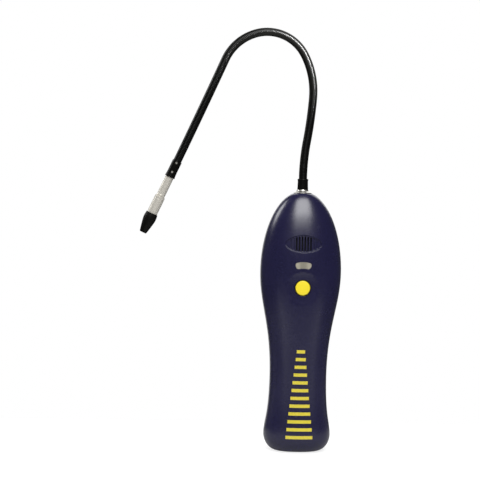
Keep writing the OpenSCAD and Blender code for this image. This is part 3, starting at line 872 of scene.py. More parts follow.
def key_finish(name, rgb, edge):
    """Yellow face of the key, with painted shade on the skirt down in the gap."""
    material, wires, shader, place = new_material(name)
    # The near-black colour is painted shade for the deep gap around the key, not a colour that the key has.
    gap_shade_colour, blend = (0.012, 0.01, 0.006, 1), 0.3 * MM
    skin = moulded(wires, place, 1800.0, 90.0)
    # Painted shade fades in over the last part of the key's depth, down the skirt.
    shaded_skirt = wires.spread(wires.axes(place)["Y"], 0.0, 1.0, edge - blend, edge)
    surface_colour = wires.mix(shaded_skirt, toned(wires, skin["Tone"], rgb, 0.95, 1.03), gap_shade_colour)
    paint(wires, shader, surface_colour, wires.spread(skin["Gloss"], 0.34, 0.46))
    bump(wires, shader, skin["Height"], 0.2, 0.02 * MM)
    return material


def cell_wrap(name, colours, foot, top):
    """Printed wrap of a cell with a copper-coloured band and bare steel ends."""
    material, wires, shader, place = new_material(name)
    skin = moulded(wires, place, 900.0, 60.0)
    height = wires.axes(place)["Z"]
    band = wires.math("GREATER_THAN", height, foot + 0.72 * (top - foot))
    line = wires.math("COMPARE", height, foot + 0.7 * (top - foot))
    line.node.inputs[2].default_value = 0.5 * MM
    low_end = wires.math("LESS_THAN", height, foot + 1.2 * MM)
    high_end = wires.math("GREATER_THAN", height, top - 2.4 * MM)
    ends = wires.math("MAXIMUM", low_end, high_end)
    wrap = wires.mix(band, opaque(colours.jacket_dark), opaque(colours.jacket_copper))
    wrap = wires.mix(line, wrap, opaque(colours.aluminium, 0.9))
    wrap = wires.mix(ends, wrap, opaque(colours.aluminium, 0.8))
    shaded = wires.mix(wires.math("MULTIPLY", skin["Tone"], 0.25), wrap, (0.02, 0.02, 0.02, 1))
    paint(wires, shader, shaded, wires.spread(skin["Gloss"], 0.24, 0.4))
    wires.feed(shader.inputs["Metallic"], wires.math("MAXIMUM", ends, wires.math("MULTIPLY", band, 0.6)))
    return material


def smoky_lens(name, rgb):
    """Translucent window with painted shade in the middle, where the lamp sits behind it."""
    material, wires, shader, place = new_material(name, transmission_weight=0.25, ior=1.49)
    skin = moulded(wires, place, 1500.0, 220.0)
    # Painted shade: the colour is darkened across the middle, over the lamp behind the window.
    across = wires.math("ABSOLUTE", wires.axes(place)["X"])
    aside = wires.spread(across, 0.0, 1.0, 1.5 * MM, 4.5 * MM, interpolation_type="SMOOTHSTEP")
    tone = wires.mix(aside, opaque(rgb, 0.66), opaque(rgb))
    cloudy = wires.mix(wires.math("MULTIPLY", skin["Tone"], 0.2), tone, opaque(rgb, 0.6))
    paint(wires, shader, cloudy, wires.spread(skin["Gloss"], 0.22, 0.36))
    bump(wires, shader, skin["Height"], 0.15, 0.02 * MM)
    return material


def board_mask(name, rgb, copper):
    """Solder mask with the tracks faintly raised under it."""
    material, wires, shader, place = new_material(name)
    lines = wires.add(
        "ShaderNodeTexVoronoi", {"Vector": place, "Scale": 260.0}, distance="MANHATTAN", feature="SMOOTH_F1"
    )
    cells = wires.math("FRACT", wires.math("MULTIPLY", lines.outputs["Distance"], 4.0))
    tracks = wires.math("LESS_THAN", cells, 0.3)
    skin = moulded(wires, place, 1800.0, 90.0)
    tone = toned(wires, skin["Tone"], rgb, 0.85, 1.15)
    laid = wires.mix(wires.math("MULTIPLY", tracks, 0.45), tone, opaque(copper, 0.4))
    paint(wires, shader, laid, wires.spread(skin["Gloss"], 0.3, 0.45))
    bump(wires, shader, tracks, 0.3, 0.03 * MM)
    return material


def key_place():
    """Height of the key's middle and depth of the dish behind its face."""
    low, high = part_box("power_button")
    return (low.z + high.z) / 2, low.y + bpy.context.scene.detector_panel.key_proud


def bore_top(shell, sizes):
    """Hole for the stem of the probe collar."""
    start_clean()
    bpy.ops.mesh.primitive_cylinder_add(
        vertices=72, radius=STEM_BORE, depth=20 * MM, location=(0, 0, sizes.height)
    )
    carve(shell, freeze("stem_bore"))


def fit(piece, place, angle, finish, body, node):
    """Puts a piece in its place, shades it and gives it its finish."""
    settle(piece, place)
    shade_evenly(piece, angle)
    finish_piece(piece, finish, body, [node])


class DETECTOR_OT_front_shell(bpy.types.Operator):
    """Front half of the housing with its grille, dish, key hole and lens window"""

    bl_idname = "detector.front_shell"
    bl_label = "Front shell"

    def execute(self, context):
        sizes = context.scene.detector_housing
        panel = context.scene.detector_panel
        colours = context.scene.detector_colours
        key_height, dish = key_place()
        ahead = -sizes.head_depth
        skin = half_loft("front_skin", sizes, FRONT)
        shell = walled(skin, "front_shell", sizes)
        self.cut_grille(shell, skin, sizes, panel)
        radii = panel.dish_width, panel.dish_reach, panel.dish_height
        carve(shell, ball("dish", radii, (0, dish - panel.dish_reach, key_height), 320, 128, DISH_LEAN))
        bore = panel.key_diameter / 2 + panel.key_gap
        carve(shell, rod("key_bore", bore, ahead, 0, (0, key_height), 96))
        outline, corners = lens_outline(panel, key_height, 0)
        carve(shell, drawn_prism("lens_window", outline, ahead, 0, panel.lens_corner, corners))
        bore_top(shell, sizes)
        drop(skin)
        split_many_sided(shell)
        shade(shell, SHELL_ANGLE)
        finish = shell_plastic("navy_printed", colours.navy, colours.print_yellow)
        finish_piece(shell, finish, "housing", ["front_housing"])
        return {"FINISHED"}

    def cut_grille(self, shell, skin, sizes, panel):
        """Oval recess with open slots in the middle and blind ones beside them."""
        low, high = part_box("sounder")
        middle = (low.z + high.z) / 2
        near = middle - panel.grille_height, middle + panel.grille_height
        recess = self.flared_oval(sizes, panel, middle)
        carve(recess, band(skin, *near, panel.grille_depth, PAST_SKIN), "INTERSECT")
        carve(shell, recess)
        for k in range(SLOTS):
            offset = k - (SLOTS - 1) / 2
            slot = self.slot(offset * panel.slot_pitch, middle, panel, -sizes.head_depth)
            if abs(offset) > OPEN_SLOTS / 2:
                carve(slot, band(skin, *near, panel.grille_depth + BLIND_SLOT, PAST_SKIN), "INTERSECT")
            carve(shell, slot)

    def flared_oval(self, sizes, panel, middle):
        """Oval cutter square to the curved face, narrower towards its back."""
        step, front, back = 4 * MM, 6 * MM, 4 * MM
        fall = half_depth(sizes, middle - step) - half_depth(sizes, middle + step)
        widths = panel.grille_width / 2, panel.grille_height / 2
        wide = [width + panel.grille_flare * front for width in widths]
        tight = [width - panel.grille_flare * back for width in widths]
        start_clean()
        bpy.ops.mesh.primitive_circle_add(vertices=96, radius=1, fill_type="NGON")
        oval = bpy.context.object
        for vertex in oval.data.vertices:
            vertex.co = (wide[0] * vertex.co.x, -front, wide[1] * vertex.co.y)
        open_edit(oval, "SELECT")
        bpy.ops.mesh.extrude_region_move(TRANSFORM_OT_translate={"value": (0, front + back, 0)})
        bpy.ops.transform.resize(
            value=(tight[0] / wide[0], 1, tight[1] / wide[1]), center_override=(0, back, 0)
        )
        close_outwards()
        lean = Matrix.Rotation(-math.atan2(fall, 2 * step), 4, "X")
        settle(oval, Matrix.Translation((0, -half_depth(sizes, middle), middle)) @ lean)
        return oval

    def slot(self, across, middle, panel, ahead):
        """Cutter for one upright slot, as tall as the oval at its place."""
        side_rim, top_rim, end = 3.5 * MM, 1.4 * MM, -8 * MM
        reach = panel.grille_width / 2 - side_rim
        tall = (panel.grille_height / 2 - top_rim) * math.sqrt(1 - (across / reach) ** 2)
        left, right = across - panel.slot_width / 2, across + panel.slot_width / 2
        low, high = middle - tall, middle + tall
        outline = ((left, low), (right, low), (right, high), (left, high))
        return drawn_prism("slot", outline, ahead, end, 0.4 * panel.slot_width, range(4))


def door_prism(name, panel, grow, depth):
    """Outline of the battery door with rounded upper corners, extruded backwards."""
    low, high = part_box("battery_door")
    outline = (
        (low.x - grow, low.z - grow),
        (high.x + grow, low.z - grow),
        (high.x + grow, high.z + grow),
        (low.x - grow, high.z + grow),
    )
    return drawn_prism(name, outline, 5 * MM, depth, panel.door_corner + grow, (2, 3))


class DETECTOR_OT_rear_shell(bpy.types.Operator):
    """Rear half of the housing with the battery hatch, its ledge, a thumb scoop and the screw wells"""

    bl_idname = "detector.rear_shell"
    bl_label = "Rear shell"

    def execute(self, context):
        sizes = context.scene.detector_housing
        panel = context.scene.detector_panel
        colours = context.scene.detector_colours
        behind = sizes.head_depth
        door_low, door_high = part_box("battery_door")
        skin = half_loft("rear_skin", sizes, REAR)
        shell = walled(skin, "rear_shell", sizes)
        for place in self.screw_places():
            boss = rod("boss", BOSS_RADIUS, BOSS_FOOT, behind, place, 48)
            carve(boss, filled(skin), "INTERSECT")
            carve(shell, boss, "UNION")
        recess = door_prism("recess", panel, panel.door_gap, behind)
        near = door_low.z - DOOR_MARGIN, door_high.z + DOOR_MARGIN
        carve(recess, band(skin, *near, panel.door_thickness + 0.1 * MM, PAST_SKIN), "INTERSECT")
        carve(shell, recess)
        ledge = panel.hatch_ledge
        low = (-panel.hatch_width / 2, 5 * MM, door_low.z + ledge)
        high = (panel.hatch_width / 2, behind, door_high.z - ledge)
        carve(shell, block("hatch", low, high))
        for place in self.screw_places():
            carve(shell, rod("well", WELL_RADIUS, WELL_FLOOR, behind, place, 48))
            carve(shell, rod("screw_hole", SCREW_HOLE, -BOSS_FOOT, behind, place, 32))
        self.cut_scoop(shell, sizes, door_high.z + 1.5 * MM)
        bore_top(shell, sizes)
        drop(skin)
        split_many_sided(shell)
        shade(shell, SHELL_ANGLE)
        finish = shell_plastic("navy_plain", colours.navy)
        finish_piece(shell, finish, "housing", ["rear_housing"])
        return {"FINISHED"}

    def screw_places(self):
        """Places of the four screws, across and up."""
        return [(side * across * MM, height * MM) for across, height in SCREW_PLACES for side in (-1, 1)]

    def cut_scoop(self, shell, sizes, height):
        """Hollow for a thumbnail above the door."""
        radius, depth = 9 * MM, 1.4 * MM
        middle = half_depth(sizes, height) - depth + radius
        carve(shell, ball("scoop", (radius, radius, radius), (0, middle, height), 64, 48))


class DETECTOR_OT_battery_door(bpy.types.Operator):
    """Battery door with two hooks at the bottom and a snap at the top"""

    bl_idname = "detector.battery_door"
    bl_label = "Battery door"

    def execute(self, context):
        sizes = context.scene.detector_housing
        panel = context.scene.detector_panel
        colours = context.scene.detector_colours
        low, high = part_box("battery_door")
        skin = half_loft("rear_skin", sizes, REAR)
        door = door_prism("battery_door_panel", panel, 0, sizes.head_depth)
        near = low.z - DOOR_MARGIN, high.z + DOOR_MARGIN
        carve(door, band(skin, *near, panel.door_thickness), "INTERSECT")
        drop(skin)
        self.add_hooks(door, sizes, panel, low.z)
        self.add_snap(door, sizes, panel, high.z)
        shade_evenly(door, SHELL_ANGLE)
        finish = shell_plastic("navy_door", colours.navy)
        finish_piece(door, finish, "door", ["battery_door"])
        return {"FINISHED"}

    def add_hooks(self, door, sizes, panel, foot):
        """Two hooks that reach in behind the ledge of the hatch."""
        width, reach, thick, tall = 5 * MM, 5.8 * MM, 1.3 * MM, 5 * MM
        hinge = half_depth(sizes, foot)
        inner = hinge - reach
        outer = hinge - 0.65 * panel.door_thickness
        ledge = foot + panel.hatch_ledge
        for left in (-8 * MM, 3 * MM):
            right = left + width
            tab = block("tab", (left, inner, ledge + 0.4 * MM), (right, outer, ledge + 2.5 * MM))
            carve(door, tab, "UNION")
            carve(door, block("hook", (left, inner, foot), (right, inner + thick, foot + tall)), "UNION")

    def add_snap(self, door, sizes, panel, head):
        """Springy tongue with a barb that holds the door shut."""
        half_width, reach, drop_below = 5 * MM, 4 * MM, 2 * MM
        top = head - panel.hatch_ledge
        root = half_depth(sizes, top) - panel.door_thickness
        low = (-half_width, root - reach, top - drop_below)
        carve(door, block("snap", low, (half_width, root + 0.3 * MM, top - 0.8 * MM)), "UNION")
        carve(door, block("barb", low, (half_width, root - 2.6 * MM, top - 0.3 * MM)), "UNION")


class DETECTOR_OT_power_key(bpy.types.Operator):
    """Round yellow key with a crowned face, a flange and a stem"""

    bl_idname = "detector.power_key"
    bl_label = "Power key"

    def execute(self, context):
        colours = context.scene.detector_colours
        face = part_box("power_button")[0].y
        key_height = key_place()[0]
        radius = context.scene.detector_panel.key_diameter / 2 / MM
        rounding, crown, steps = 0.9, 0.3, 6
        profile = [(0, 0)]
        flat = radius - rounding
        profile += [(flat * k / 4, crown * (k / 4) ** 2) for k in range(1, 4)]
        for k in range(steps + 1):
            turn = math.pi / 2 * k / steps
            profile.append((flat + rounding * math.sin(turn), crown + rounding * (1 - math.cos(turn))))
        profile += [(radius, 4), (radius + 2, 4), (radius + 2, 5.2), (2.5, 5.2), (2.5, 9.1), (0, 9.1)]
        key = spun("power_key", profile, 96)
        place = Matrix.Translation((0, face, key_height)) @ Matrix.Rotation(-math.pi / 2, 4, "X")
        finish = key_finish("yellow_cap", colours.key_yellow, face + 1.3 * MM)
        fit(key, place, 35, finish, "button", "power_button")
        return {"FINISHED"}


class DETECTOR_OT_lamp_lens(bpy.types.Operator):
    """Smoky lens flush with the housing, with a lip behind the wall"""

    bl_idname = "detector.lamp_lens"
    bl_label = "Lamp lens"

    def execute(self, context):
        sizes = context.scene.detector_housing
        panel = context.scene.detector_panel
        colours = context.scene.detector_colours
        key_height, dish = key_place()
        pad = dish + 3 * MM
        ahead, back = -sizes.head_depth, pad + 0.6 * MM
        skin = half_loft("front_skin", sizes, FRONT)
        outline, corners = lens_outline(panel, key_height, panel.lens_gap)
        lens = drawn_prism("lamp_lens", outline, ahead, back, panel.lens_corner, corners)
        carve(lens, filled(skin), "INTERSECT")
        outline = lens_outline(panel, key_height, -0.8 * MM)[0]
        carve(lens, drawn_prism("lip", outline, pad + 0.01 * MM, pad + 1.2 * MM), "UNION")
        drop(skin)
        shade_evenly(lens, 30)
        finish = smoky_lens("smoky_lens", colours.lens_grey)
        finish_piece(lens, finish, "housing", ["indicator_lens"])
        return {"FINISHED"}


class DETECTOR_OT_probe_root(bpy.types.Operator):
    """Plated collar on the housing and the black sleeve above it"""

    bl_idname = "detector.probe_root"
    bl_label = "Probe root"

    def execute(self, context):
        colours = context.scene.detector_colours
        height = context.scene.detector_housing.height
        radius = context.scene.detector_probe.neck_diameter / 2 / MM
        bore = radius + 0.05
        stem = [(bore, -10), (4.7, -10), (4.7, 0.02)]
        flange = [(7.6, 0.02), (7.6, 0.7)]
        cone = [(6.6, 1.15), (5.9, 1.6), (5.4, 1.95), (5.1, 2.3), (4.95, 2.7), (4.9, 3.2), (bore, 3.2)]
        collar = spun("probe_collar_turned", stem + flange + cone)
        soften(collar, 0.12 * MM, 2, 40)
        place = Matrix.Translation((0, 0, height))
        finish = metal("plated_collar", colours.plated, 0.36, stretch=1.0, fineness=900.0)
        fit(collar, place, 35, finish, "housing", "probe_collar")
        foot = [(bore, 0), (radius + 1.05, 0), (radius + 1.05, 1.6), (radius + 0.95, 2.2)]
        rim = [(radius + 0.8, 7.4), (radius + 1.0, 8.0), (radius + 1.0, 8.7), (radius + 0.7, 9.2)]
        sleeve = spun("base_sleeve_moulded", foot + rim + [(bore, 9.2)])
        soften(sleeve, 0.15 * MM, 2, 25)
        place = Matrix.Translation((0, 0, height + 3.2 * MM))
        finish = black_rubber("sleeve_rubber", colours, 0.34)
        fit(sleeve, place, 35, finish, "housing", "base_sleeve")
        return {"FINISHED"}


class DETECTOR_OT_gooseneck(bpy.types.Operator):
    """Wound gooseneck, screwed up from one turn and laid along its bends"""

    bl_idname = "detector.gooseneck"
    bl_label = "Gooseneck"

    def execute(self, context):
        probe = context.scene.detector_probe
        colours = context.scene.detector_colours
        height = context.scene.detector_housing.height
        radius = probe.neck_diameter / 2
        pitch = probe.winding_pitch
        groove = radius - probe.winding_depth
        bends = list(NECK_BENDS)
        bends[-1] = (
            bends[-1][0] - probe.sleeve_cover / MM,
            bends[-1][1] * (1 - probe.sleeve_cover / MM / bends[-1][0]),
        )
        span = probe.neck_root + sum(bend[0] for bend in bends) * MM
        low = -2 * pitch
        shoulder = groove + 0.72 * probe.winding_depth
        neck = open_chain(
            "gooseneck_winding",
            [
                (groove, 0, low),
                (shoulder, 0, low + 0.14 * pitch),
                (radius, 0, low + 0.5 * pitch),
                (shoulder, 0, low + 0.86 * pitch),
                (groove, 0, low + pitch),
            ],
        )
        modify(
            neck,
            "SCREW",
            axis="Z",
            angle=2 * math.pi,
            screw_offset=pitch,
            iterations=int(span / pitch) + 4,
            steps=28,
            render_steps=28,
            use_smooth_shade=True,
        )
        merge(neck)
        for end, below in ((0, True), (span, False)):
            open_edit(neck, "SELECT")
            bpy.ops.mesh.bisect(
                plane_co=(0, 0, end),
                plane_no=(0, 0, 1),
                use_fill=True,
                clear_inner=below,
                clear_outer=not below,
                threshold=TINY,
            )
            close_edit()
        merge(neck)
        route = self.route(bends, height, probe.neck_root)
        modify(neck, "CURVE", object=route, deform_axis="POS_Z")
        drop(route)
        shade(neck, 60)
        finish = plastic(
            "neck_black", colours.neck_black, 0.3, grain=900.0, depth=0.01, specular_ior_level=0.18
        )
        finish_piece(neck, finish, "housing", ["gooseneck"])
        return {"FINISHED"}

    def route(self, bends, height, root):
        """Curve through the bends, with a point about every millimetre."""
        pose = (0, height - root, 0)
        points = [pose]
        for span, turn in [(root / MM, 0)] + bends:
            steps = max(int(span), 2)
            for _ in range(steps):
                pose = advance(pose, (span / steps, turn / steps))
                points.append(pose)
        curve = bpy.data.curves.new("route", "CURVE")
        curve.dimensions = "3D"
        curve.use_deform_bounds = True
        spline = curve.splines.new("POLY")
        spline.points.add(len(points) - 1)
        for point, place in zip(spline.points, points):
            point.co = (place[0], 0, place[1], 1)
        route = bpy.data.objects.new("route", curve)
        bpy.context.scene.collection.objects.link(route)
        return route


class DETECTOR_OT_sensor(bpy.types.Operator):
    """Crimped tip sleeve, sensor socket, sensor barrel and the guard on its end"""

    bl_idname = "detector.sensor"
    bl_label = "Sensor"

    def execute(self, context):
        probe = context.scene.detector_probe
        colours = context.scene.detector_colours
        place = tip_matrix(context.scene.detector_housing.height)
        turn = -place.to_euler().y
        self.sleeve(probe, colours, place)

        radius = probe.socket_diameter / 2 / MM
        end = probe.socket_length / MM
        tube = [(1.9, -4), (radius, -4), (radius, end - 2.2)]
        groove = [(radius - 0.12, end - 2.0), (radius - 0.12, end - 1.6), (radius, end - 1.4)]
        mouth = [(radius, end - 0.25), (radius - 0.25, end - 0.02), (2.7, end - 0.02)]
        bore = [(2.7, end - 8), (1.9, end - 8)]
        socket = spun("sensor_socket_turned", tube + groove + mouth + bore, 96)
        soften(socket, 0.06 * MM, 2, 35)
        finish = dull_aluminium("drawn_aluminium", colours, 0.44, turn)
        fit(socket, place, 35, finish, "housing", "sensor_socket")

        radius = probe.barrel_diameter / 2 / MM
        end = probe.barrel_length / MM
        stub = [(1.6, -7.8), (2.65, -7.8), (2.65, 0), (radius - 0.45, 0), (radius, 0.45)]
        groove = [(radius, 2.2), (radius - 0.14, 2.4), (radius - 0.14, 2.8), (radius, 3.0)]
        seat = [(radius, end + 6), (radius - 0.3, end + 6.3), (2.9, end + 6.3)]
        bore = [(2.9, end + 2.2), (1.6, end + 2.2)]
        barrel = spun("sensor_barrel_turned", stub + groove + seat + bore, 96)
        soften(barrel, 0.06 * MM, 2, 35)
        finish = dull_aluminium("turned_aluminium", colours, 0.46, turn)
        place = place @ Matrix.Translation((0, 0, probe.socket_length))
        fit(barrel, place, 35, finish, "housing", "sensor_barrel")

        self.guard(probe, colours, place @ Matrix.Translation((0, 0, probe.barrel_length)))
        return {"FINISHED"}

    def sleeve(self, probe, colours, place):
        """Black sleeve over the end of the gooseneck, crimped at two heights."""
        crimps = (-13.2, -4.8)
        bore = max(probe.neck_diameter, probe.socket_diameter) / 2 / MM + 0.05
        tube = [(bore, -15), (bore + 0.3, -15), (bore + 0.42, -14.4), (bore + 0.36, -5.5)]
        lip = [(bore + 0.6, -1.4), (bore + 0.75, -0.6), (bore + 0.75, 0), (bore, 0)]
        sleeve = spun("tip_sleeve_crimped", tube + lip, 96)
        self.crimp(sleeve, bore, crimps)
        split_many_sided(sleeve)
        finish = crimped("crimped_sleeve", colours, place, [height * MM for height in crimps])
        fit(sleeve, place, 30, finish, "housing", "tip_sleeve")

    def crimp(self, sleeve, bore, heights):
        """Presses small dents into the sleeve, on the front and the back."""
        radius, away = 1.6 * MM, (bore + 1.62) * MM
        for height in heights:
            for side in (-away, away):
                carve(sleeve, ball("dent", (radius, radius, radius), (0, side, height * MM), 32, 24))

    def guard(self, probe, colours, place):
        """Tapered rubber guard with a rolled edge and the air inlet in its end."""
        bore = probe.barrel_diameter / 2 / MM + 0.05
        inlet = probe.inlet_diameter / 2 / MM
        end = probe.guard_length / MM
        roll = [(bore, 0), (bore + 0.5, 0), (bore + 0.72, 1.2), (bore + 0.95, 3), (bore + 1, 4.4)]
        taper = [(bore + 0.95, 5.8), (bore + 0.72, 7.4), (4.2, 12.5), (3.1, end - 0.5), (2.7, end)]
        hollow = [(inlet + 0.3, end), (inlet, end - 0.3), (inlet, end - 3), (bore - 1, 8), (bore, 6.6)]
        guard = spun("tip_guard_moulded", roll + taper + hollow, 96)
        finish = black_rubber("guard_rubber", colours, 0.46)
        fit(guard, place, 30, finish, "guard", "tip_guard")


class DETECTOR_OT_batteries(bpy.types.Operator):
    """Battery tray, two cells, their contacts and the housing screws"""

    bl_idname = "detector.batteries"
    bl_label = "Batteries and screws"

    def execute(self, context):
        colours = context.scene.detector_colours
        tray = smooth_copy("battery_tray", "battery_tray_moulded")
        finish = plastic("tray_plastic", colours.tray_black, 0.5)
        finish_piece(tray, finish, "housing", ["battery_tray"])
        for node in ("cell_lower", "cell_upper"):
            low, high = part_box(node)
            cell = smooth_copy(node, node + "_wrapped")
            soften(cell, 0.1 * MM, 2, 50)
            shade_evenly(cell, 35)
            finish = cell_wrap(node + "_wrap", colours, low.z, high.z)
            finish_piece(cell, finish, "housing", [node])
        steel = metal("contact_steel", colours.plated, 0.25, fineness=700.0, stretch=0.4)
        for node in ("spring_contact", "plate_contact"):
            contact = smooth_copy(node, node + "_plated", 40)
            finish_piece(contact, steel, "housing", [node])
        screws = smooth_copy("housing_screws", "housing_screws_plated")
        soften(screws, 0.12 * MM, 2, 50)
        shade_evenly(screws, 35)
        finish = metal("screw_steel", colours.plated, 0.28, fineness=900.0, stretch=1.0)
        finish_piece(screws, finish, "housing", ["housing_screws"])
        return {"FINISHED"}


class DETECTOR_OT_inner_parts(bpy.types.Operator):
    """Finishes of the pieces inside the closed housing and of the lead"""

    bl_idname = "detector.inner_parts"
    bl_label = "Inner parts"

    def execute(self, context):
        colours = context.scene.detector_colours
        steel = metal("inner_steel", colours.plated, 0.3, fineness=800.0, stretch=0.6)
        black = plastic("inner_black", colours.tray_black, 0.45)
        white = plastic("connector_white", (0.78, 0.76, 0.7), 0.4)
        lamp = smooth_copy("indicator_led", "indicator_led_moulded", 35)
        epoxy = smoky_lens("lamp_epoxy", (0.75, 0.72, 0.66))
        finish_piece(lamp, epoxy, "housing", ["indicator_led"])
        finishes = {
            "switch_plunger": black,
            "switch_body": steel,
            "sounder": black,
            "circuit_board": board_mask("board_mask", colours.board_green, colours.jacket_copper),
            "board_screws": steel,
            "board_chips": black,
            "lead_connector": white,
            "lock_nut": steel,
            "sensor_lead": plastic("lead_jacket", colours.rubber_black, 0.45),
            "sensor_element": metal("sensor_can", colours.jacket_copper, 0.3, fineness=1200.0, stretch=0.3),
        }
        for node, finish in finishes.items():
            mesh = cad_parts[node].data
            mesh.materials.clear()
            mesh.materials.append(finish)
        return {"FINISHED"}


def seen_directly(wires):
    """1 for the camera, for reflections and for views through glass, and 0 for other light."""
    path = wires.add("ShaderNodeLightPath").outputs
    sight = wires.math("MAXIMUM", path["Is Camera Ray"], path["Is Glossy Ray"])
    return wires.math("MAXIMUM", sight, path["Is Transmission Ray"])


class DETECTOR_OT_studio(bpy.types.Operator):
    """Pale floor in a white surround, soft lamps and the camera"""

    bl_idname = "detector.studio"
    bl_label = "Studio"

    def execute(self, context):
        light = context.scene.detector_studio
        self.floor()
        self.surround(light)
        self.sheet("key_lamp", light.key_power, (0.65, 0.7), (0.04, -0.73, 1.04), (0.0, 0.0, 0.2))
        self.sheet("fill_lamp", light.fill_power, (0.45, 0.3), (0.04, -0.98, 0.72), (0.0, 0.0, 0.2))
        self.spot("near_lamp", light.near_power, 7.6, (0.375, -0.5, 0.565), (-0.009, 0.0, 0.345))
        self.sheet("rear_lamp", light.rear_power, (1.2, 1.2), (0.25, 1.1, 0.95), (0.0, 0.0, 0.15))
        self.sheet("side_lamp", light.side_power, (0.45, 0.42), (-0.84, 0.36, 0.78), (0.0, 0.0, 0.2))
        self.camera(light)
        context.scene.view_settings.view_transform = "Standard"
        return {"FINISHED"}

    def floor(self):
        """Floor under the foot, white where it is seen, dimmer in reflections and grey in the shadow."""
        side, ahead, behind, below = 0.3, 0.36, 0.12, 0.0002
        start_clean()
        bpy.ops.mesh.primitive_plane_add(size=2, location=(0, (behind - ahead) / 2, -below))
        bpy.context.object.scale = (side, (behind + ahead) / 2, 1)
        floor = freeze("studio_floor")
        material = bpy.data.materials.new("pale_floor")
        material.use_nodes = True
        wires = Wiring(material.node_tree)
        material.node_tree.nodes.clear()
        grain = wires.add("ShaderNodeTexNoise", {"Scale": 40.0})
        shades = wires.mix(grain.outputs[0], (0.78, 0.78, 0.78, 1), (0.82, 0.82, 0.82, 1))
        lit = wires.add("ShaderNodeBsdfDiffuse", {"Color": shades}).outputs[0]
        faint = wires.add("ShaderNodeBsdfDiffuse", {"Color": (0.35, 0.35, 0.35, 1)}).outputs[0]
        path = wires.add("ShaderNodeLightPath").outputs
        place = wires.add("ShaderNodeTexCoord").outputs["Object"]
        mirrored = wires.spread(wires.axes(place)["Y"], 0.75, 0.15, -0.32, -0.2)
        strength = wires.add(
            "ShaderNodeMix", {0: path["Is Glossy Ray"], "A": 0.8, "B": mirrored}, data_type="FLOAT"
        )
        glow = wires.add("ShaderNodeEmission", {"Strength": strength.outputs[0]}).outputs[0]
        white = wires.add("ShaderNodeAddShader", {0: faint, 1: glow}).outputs[0]
        final = wires.add("ShaderNodeMixShader", {0: seen_directly(wires), 1: lit, 2: white})
        wires.add("ShaderNodeOutputMaterial", {"Surface": final.outputs[0]})
        floor.data.materials.append(material)

    def surround(self, light):
        """Even light from all around, seen as white, and in reflections as a white sheet behind."""
        world = bpy.data.worlds.new("studio_world")
        bpy.context.scene.world = world
        world.use_nodes = True
        world.node_tree.nodes.clear()
        wires = Wiring(world.node_tree)
        way = wires.axes(wires.add("ShaderNodeTexCoord").outputs["Generated"])
        sheet = wires.spread(way["Y"], 0.08, 1.0, 0.9, 0.99)
        camera = wires.add("ShaderNodeLightPath").outputs["Is Camera Ray"]
        white = (1, 1, 1, 1)
        bright = wires.math("MAXIMUM", sheet, camera)
        seen = wires.add("ShaderNodeBackground", {"Color": white, "Strength": bright}).outputs[0]
        even = wires.add("ShaderNodeBackground", {"Color": white, "Strength": light.world_power}).outputs[0]
        final = wires.add("ShaderNodeMixShader", {0: seen_directly(wires), 1: even, 2: seen})
        wires.add("ShaderNodeOutputWorld", {"Surface": final.outputs[0]})

    def lamp(self, kind, name, power, place, target):
        """Lamp that points at a target."""
        start_clean()
        way = Vector(target) - Vector(place)
        turn = way.to_track_quat("-Z", "Y").to_euler()
        bpy.ops.object.light_add(type=kind, location=place, rotation=turn)
        bpy.context.object.name = name
        bpy.context.object.data.energy = power
        return bpy.context.object.data

    def sheet(self, name, power, size, place, target):
        """Rectangular soft lamp."""
        lamp = self.lamp("AREA", name, power, place, target)
        lamp.shape = "RECTANGLE"
        lamp.size, lamp.size_y = size

    def spot(self, name, power, angle, place, target):
        """Narrow spot with a soft edge."""
        lamp = self.lamp("SPOT", name, power, place, target)
        lamp.spot_size = math.radians(angle)
        lamp.spot_blend = 0.7
        lamp.shadow_soft_size = 0.025

    def camera(self, light):
        """Long lens in front, a little to the left and above."""
        focal, sensor = 100.0, 36.0
        away = light.view_width * focal / sensor
        level = Vector((-math.sin(light.camera_turn), -math.cos(light.camera_turn), 0))
        right = Vector((math.cos(light.camera_turn), -math.sin(light.camera_turn), 0))
        back = level * math.cos(light.camera_rise) + Vector((0, 0, math.sin(light.camera_rise)))
        target = right * light.aim_side + Vector((0, 0, light.aim_height))
        turn = (-back).to_track_quat("-Z", "Y").to_matrix().to_4x4()
        roll = Matrix.Rotation(light.camera_roll, 4, "Z")
        start_clean()
        bpy.ops.object.camera_add()
        camera = bpy.context.object
        camera.name = "studio_camera"
        camera.data.lens = focal
        camera.data.sensor_width = sensor
        camera.matrix_world = Matrix.Translation(target + back * away) @ turn @ roll
        bpy.context.scene.camera = camera


class DETECTOR_PT_panel(bpy.types.Panel):
    """Lists the builders and their sizes"""

    bl_idname = "DETECTOR_PT_panel"
    bl_label = "Leak detector"
    bl_space_type = "VIEW_3D"
    bl_region_type = "UI"
    bl_category = "Detector"

    def draw(self, context):
        column = self.layout.column()
        for operator in OPERATORS:
            column.operator(operator.bl_idname)
        for attribute in GROUPS:
            group = getattr(context.scene, attribute)
            for key in group.bl_rna.properties.keys():
                if key not in ("rna_type", "name"):
                    column.prop(group, key)


GROUPS = {
    "detector_housing": HousingSizes,
    "detector_panel": PanelSizes,
    "detector_probe": ProbeSizes,
    "detector_colours": FinishColours,
    "detector_studio": StudioLight,
}
OPERATORS = (
    DETECTOR_OT_studio,
    DETECTOR_OT_front_shell,
    DETECTOR_OT_rear_shell,
    DETECTOR_OT_battery_door,
    DETECTOR_OT_power_key,
    DETECTOR_OT_lamp_lens,
    DETECTOR_OT_probe_root,
    DETECTOR_OT_gooseneck,
    DETECTOR_OT_sensor,
    DETECTOR_OT_batteries,
    DETECTOR_OT_inner_parts,
)


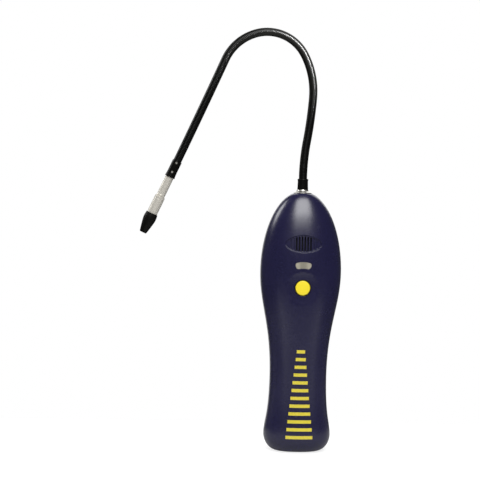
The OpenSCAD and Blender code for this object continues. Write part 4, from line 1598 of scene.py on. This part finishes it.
def register():
    for attribute, group in GROUPS.items():
        bpy.utils.register_class(group)
        setattr(bpy.types.Scene, attribute, PointerProperty(type=group))
    for operator in OPERATORS:
        bpy.utils.register_class(operator)
    bpy.utils.register_class(DETECTOR_PT_panel)


def unregister():
    bpy.utils.unregister_class(DETECTOR_PT_panel)
    for operator in reversed(OPERATORS):
        bpy.utils.unregister_class(operator)
    for attribute, group in GROUPS.items():
        delattr(bpy.types.Scene, attribute)
        bpy.utils.unregister_class(group)


def main():
    register()
    bpy.ops.detector.studio()
    bpy.ops.detector.front_shell()
    bpy.ops.detector.rear_shell()
    bpy.ops.detector.battery_door()
    bpy.ops.detector.power_key()
    bpy.ops.detector.lamp_lens()
    bpy.ops.detector.probe_root()
    bpy.ops.detector.gooseneck()
    bpy.ops.detector.sensor()
    bpy.ops.detector.batteries()
    bpy.ops.detector.inner_parts()


if __name__ == "__main__":
    main()
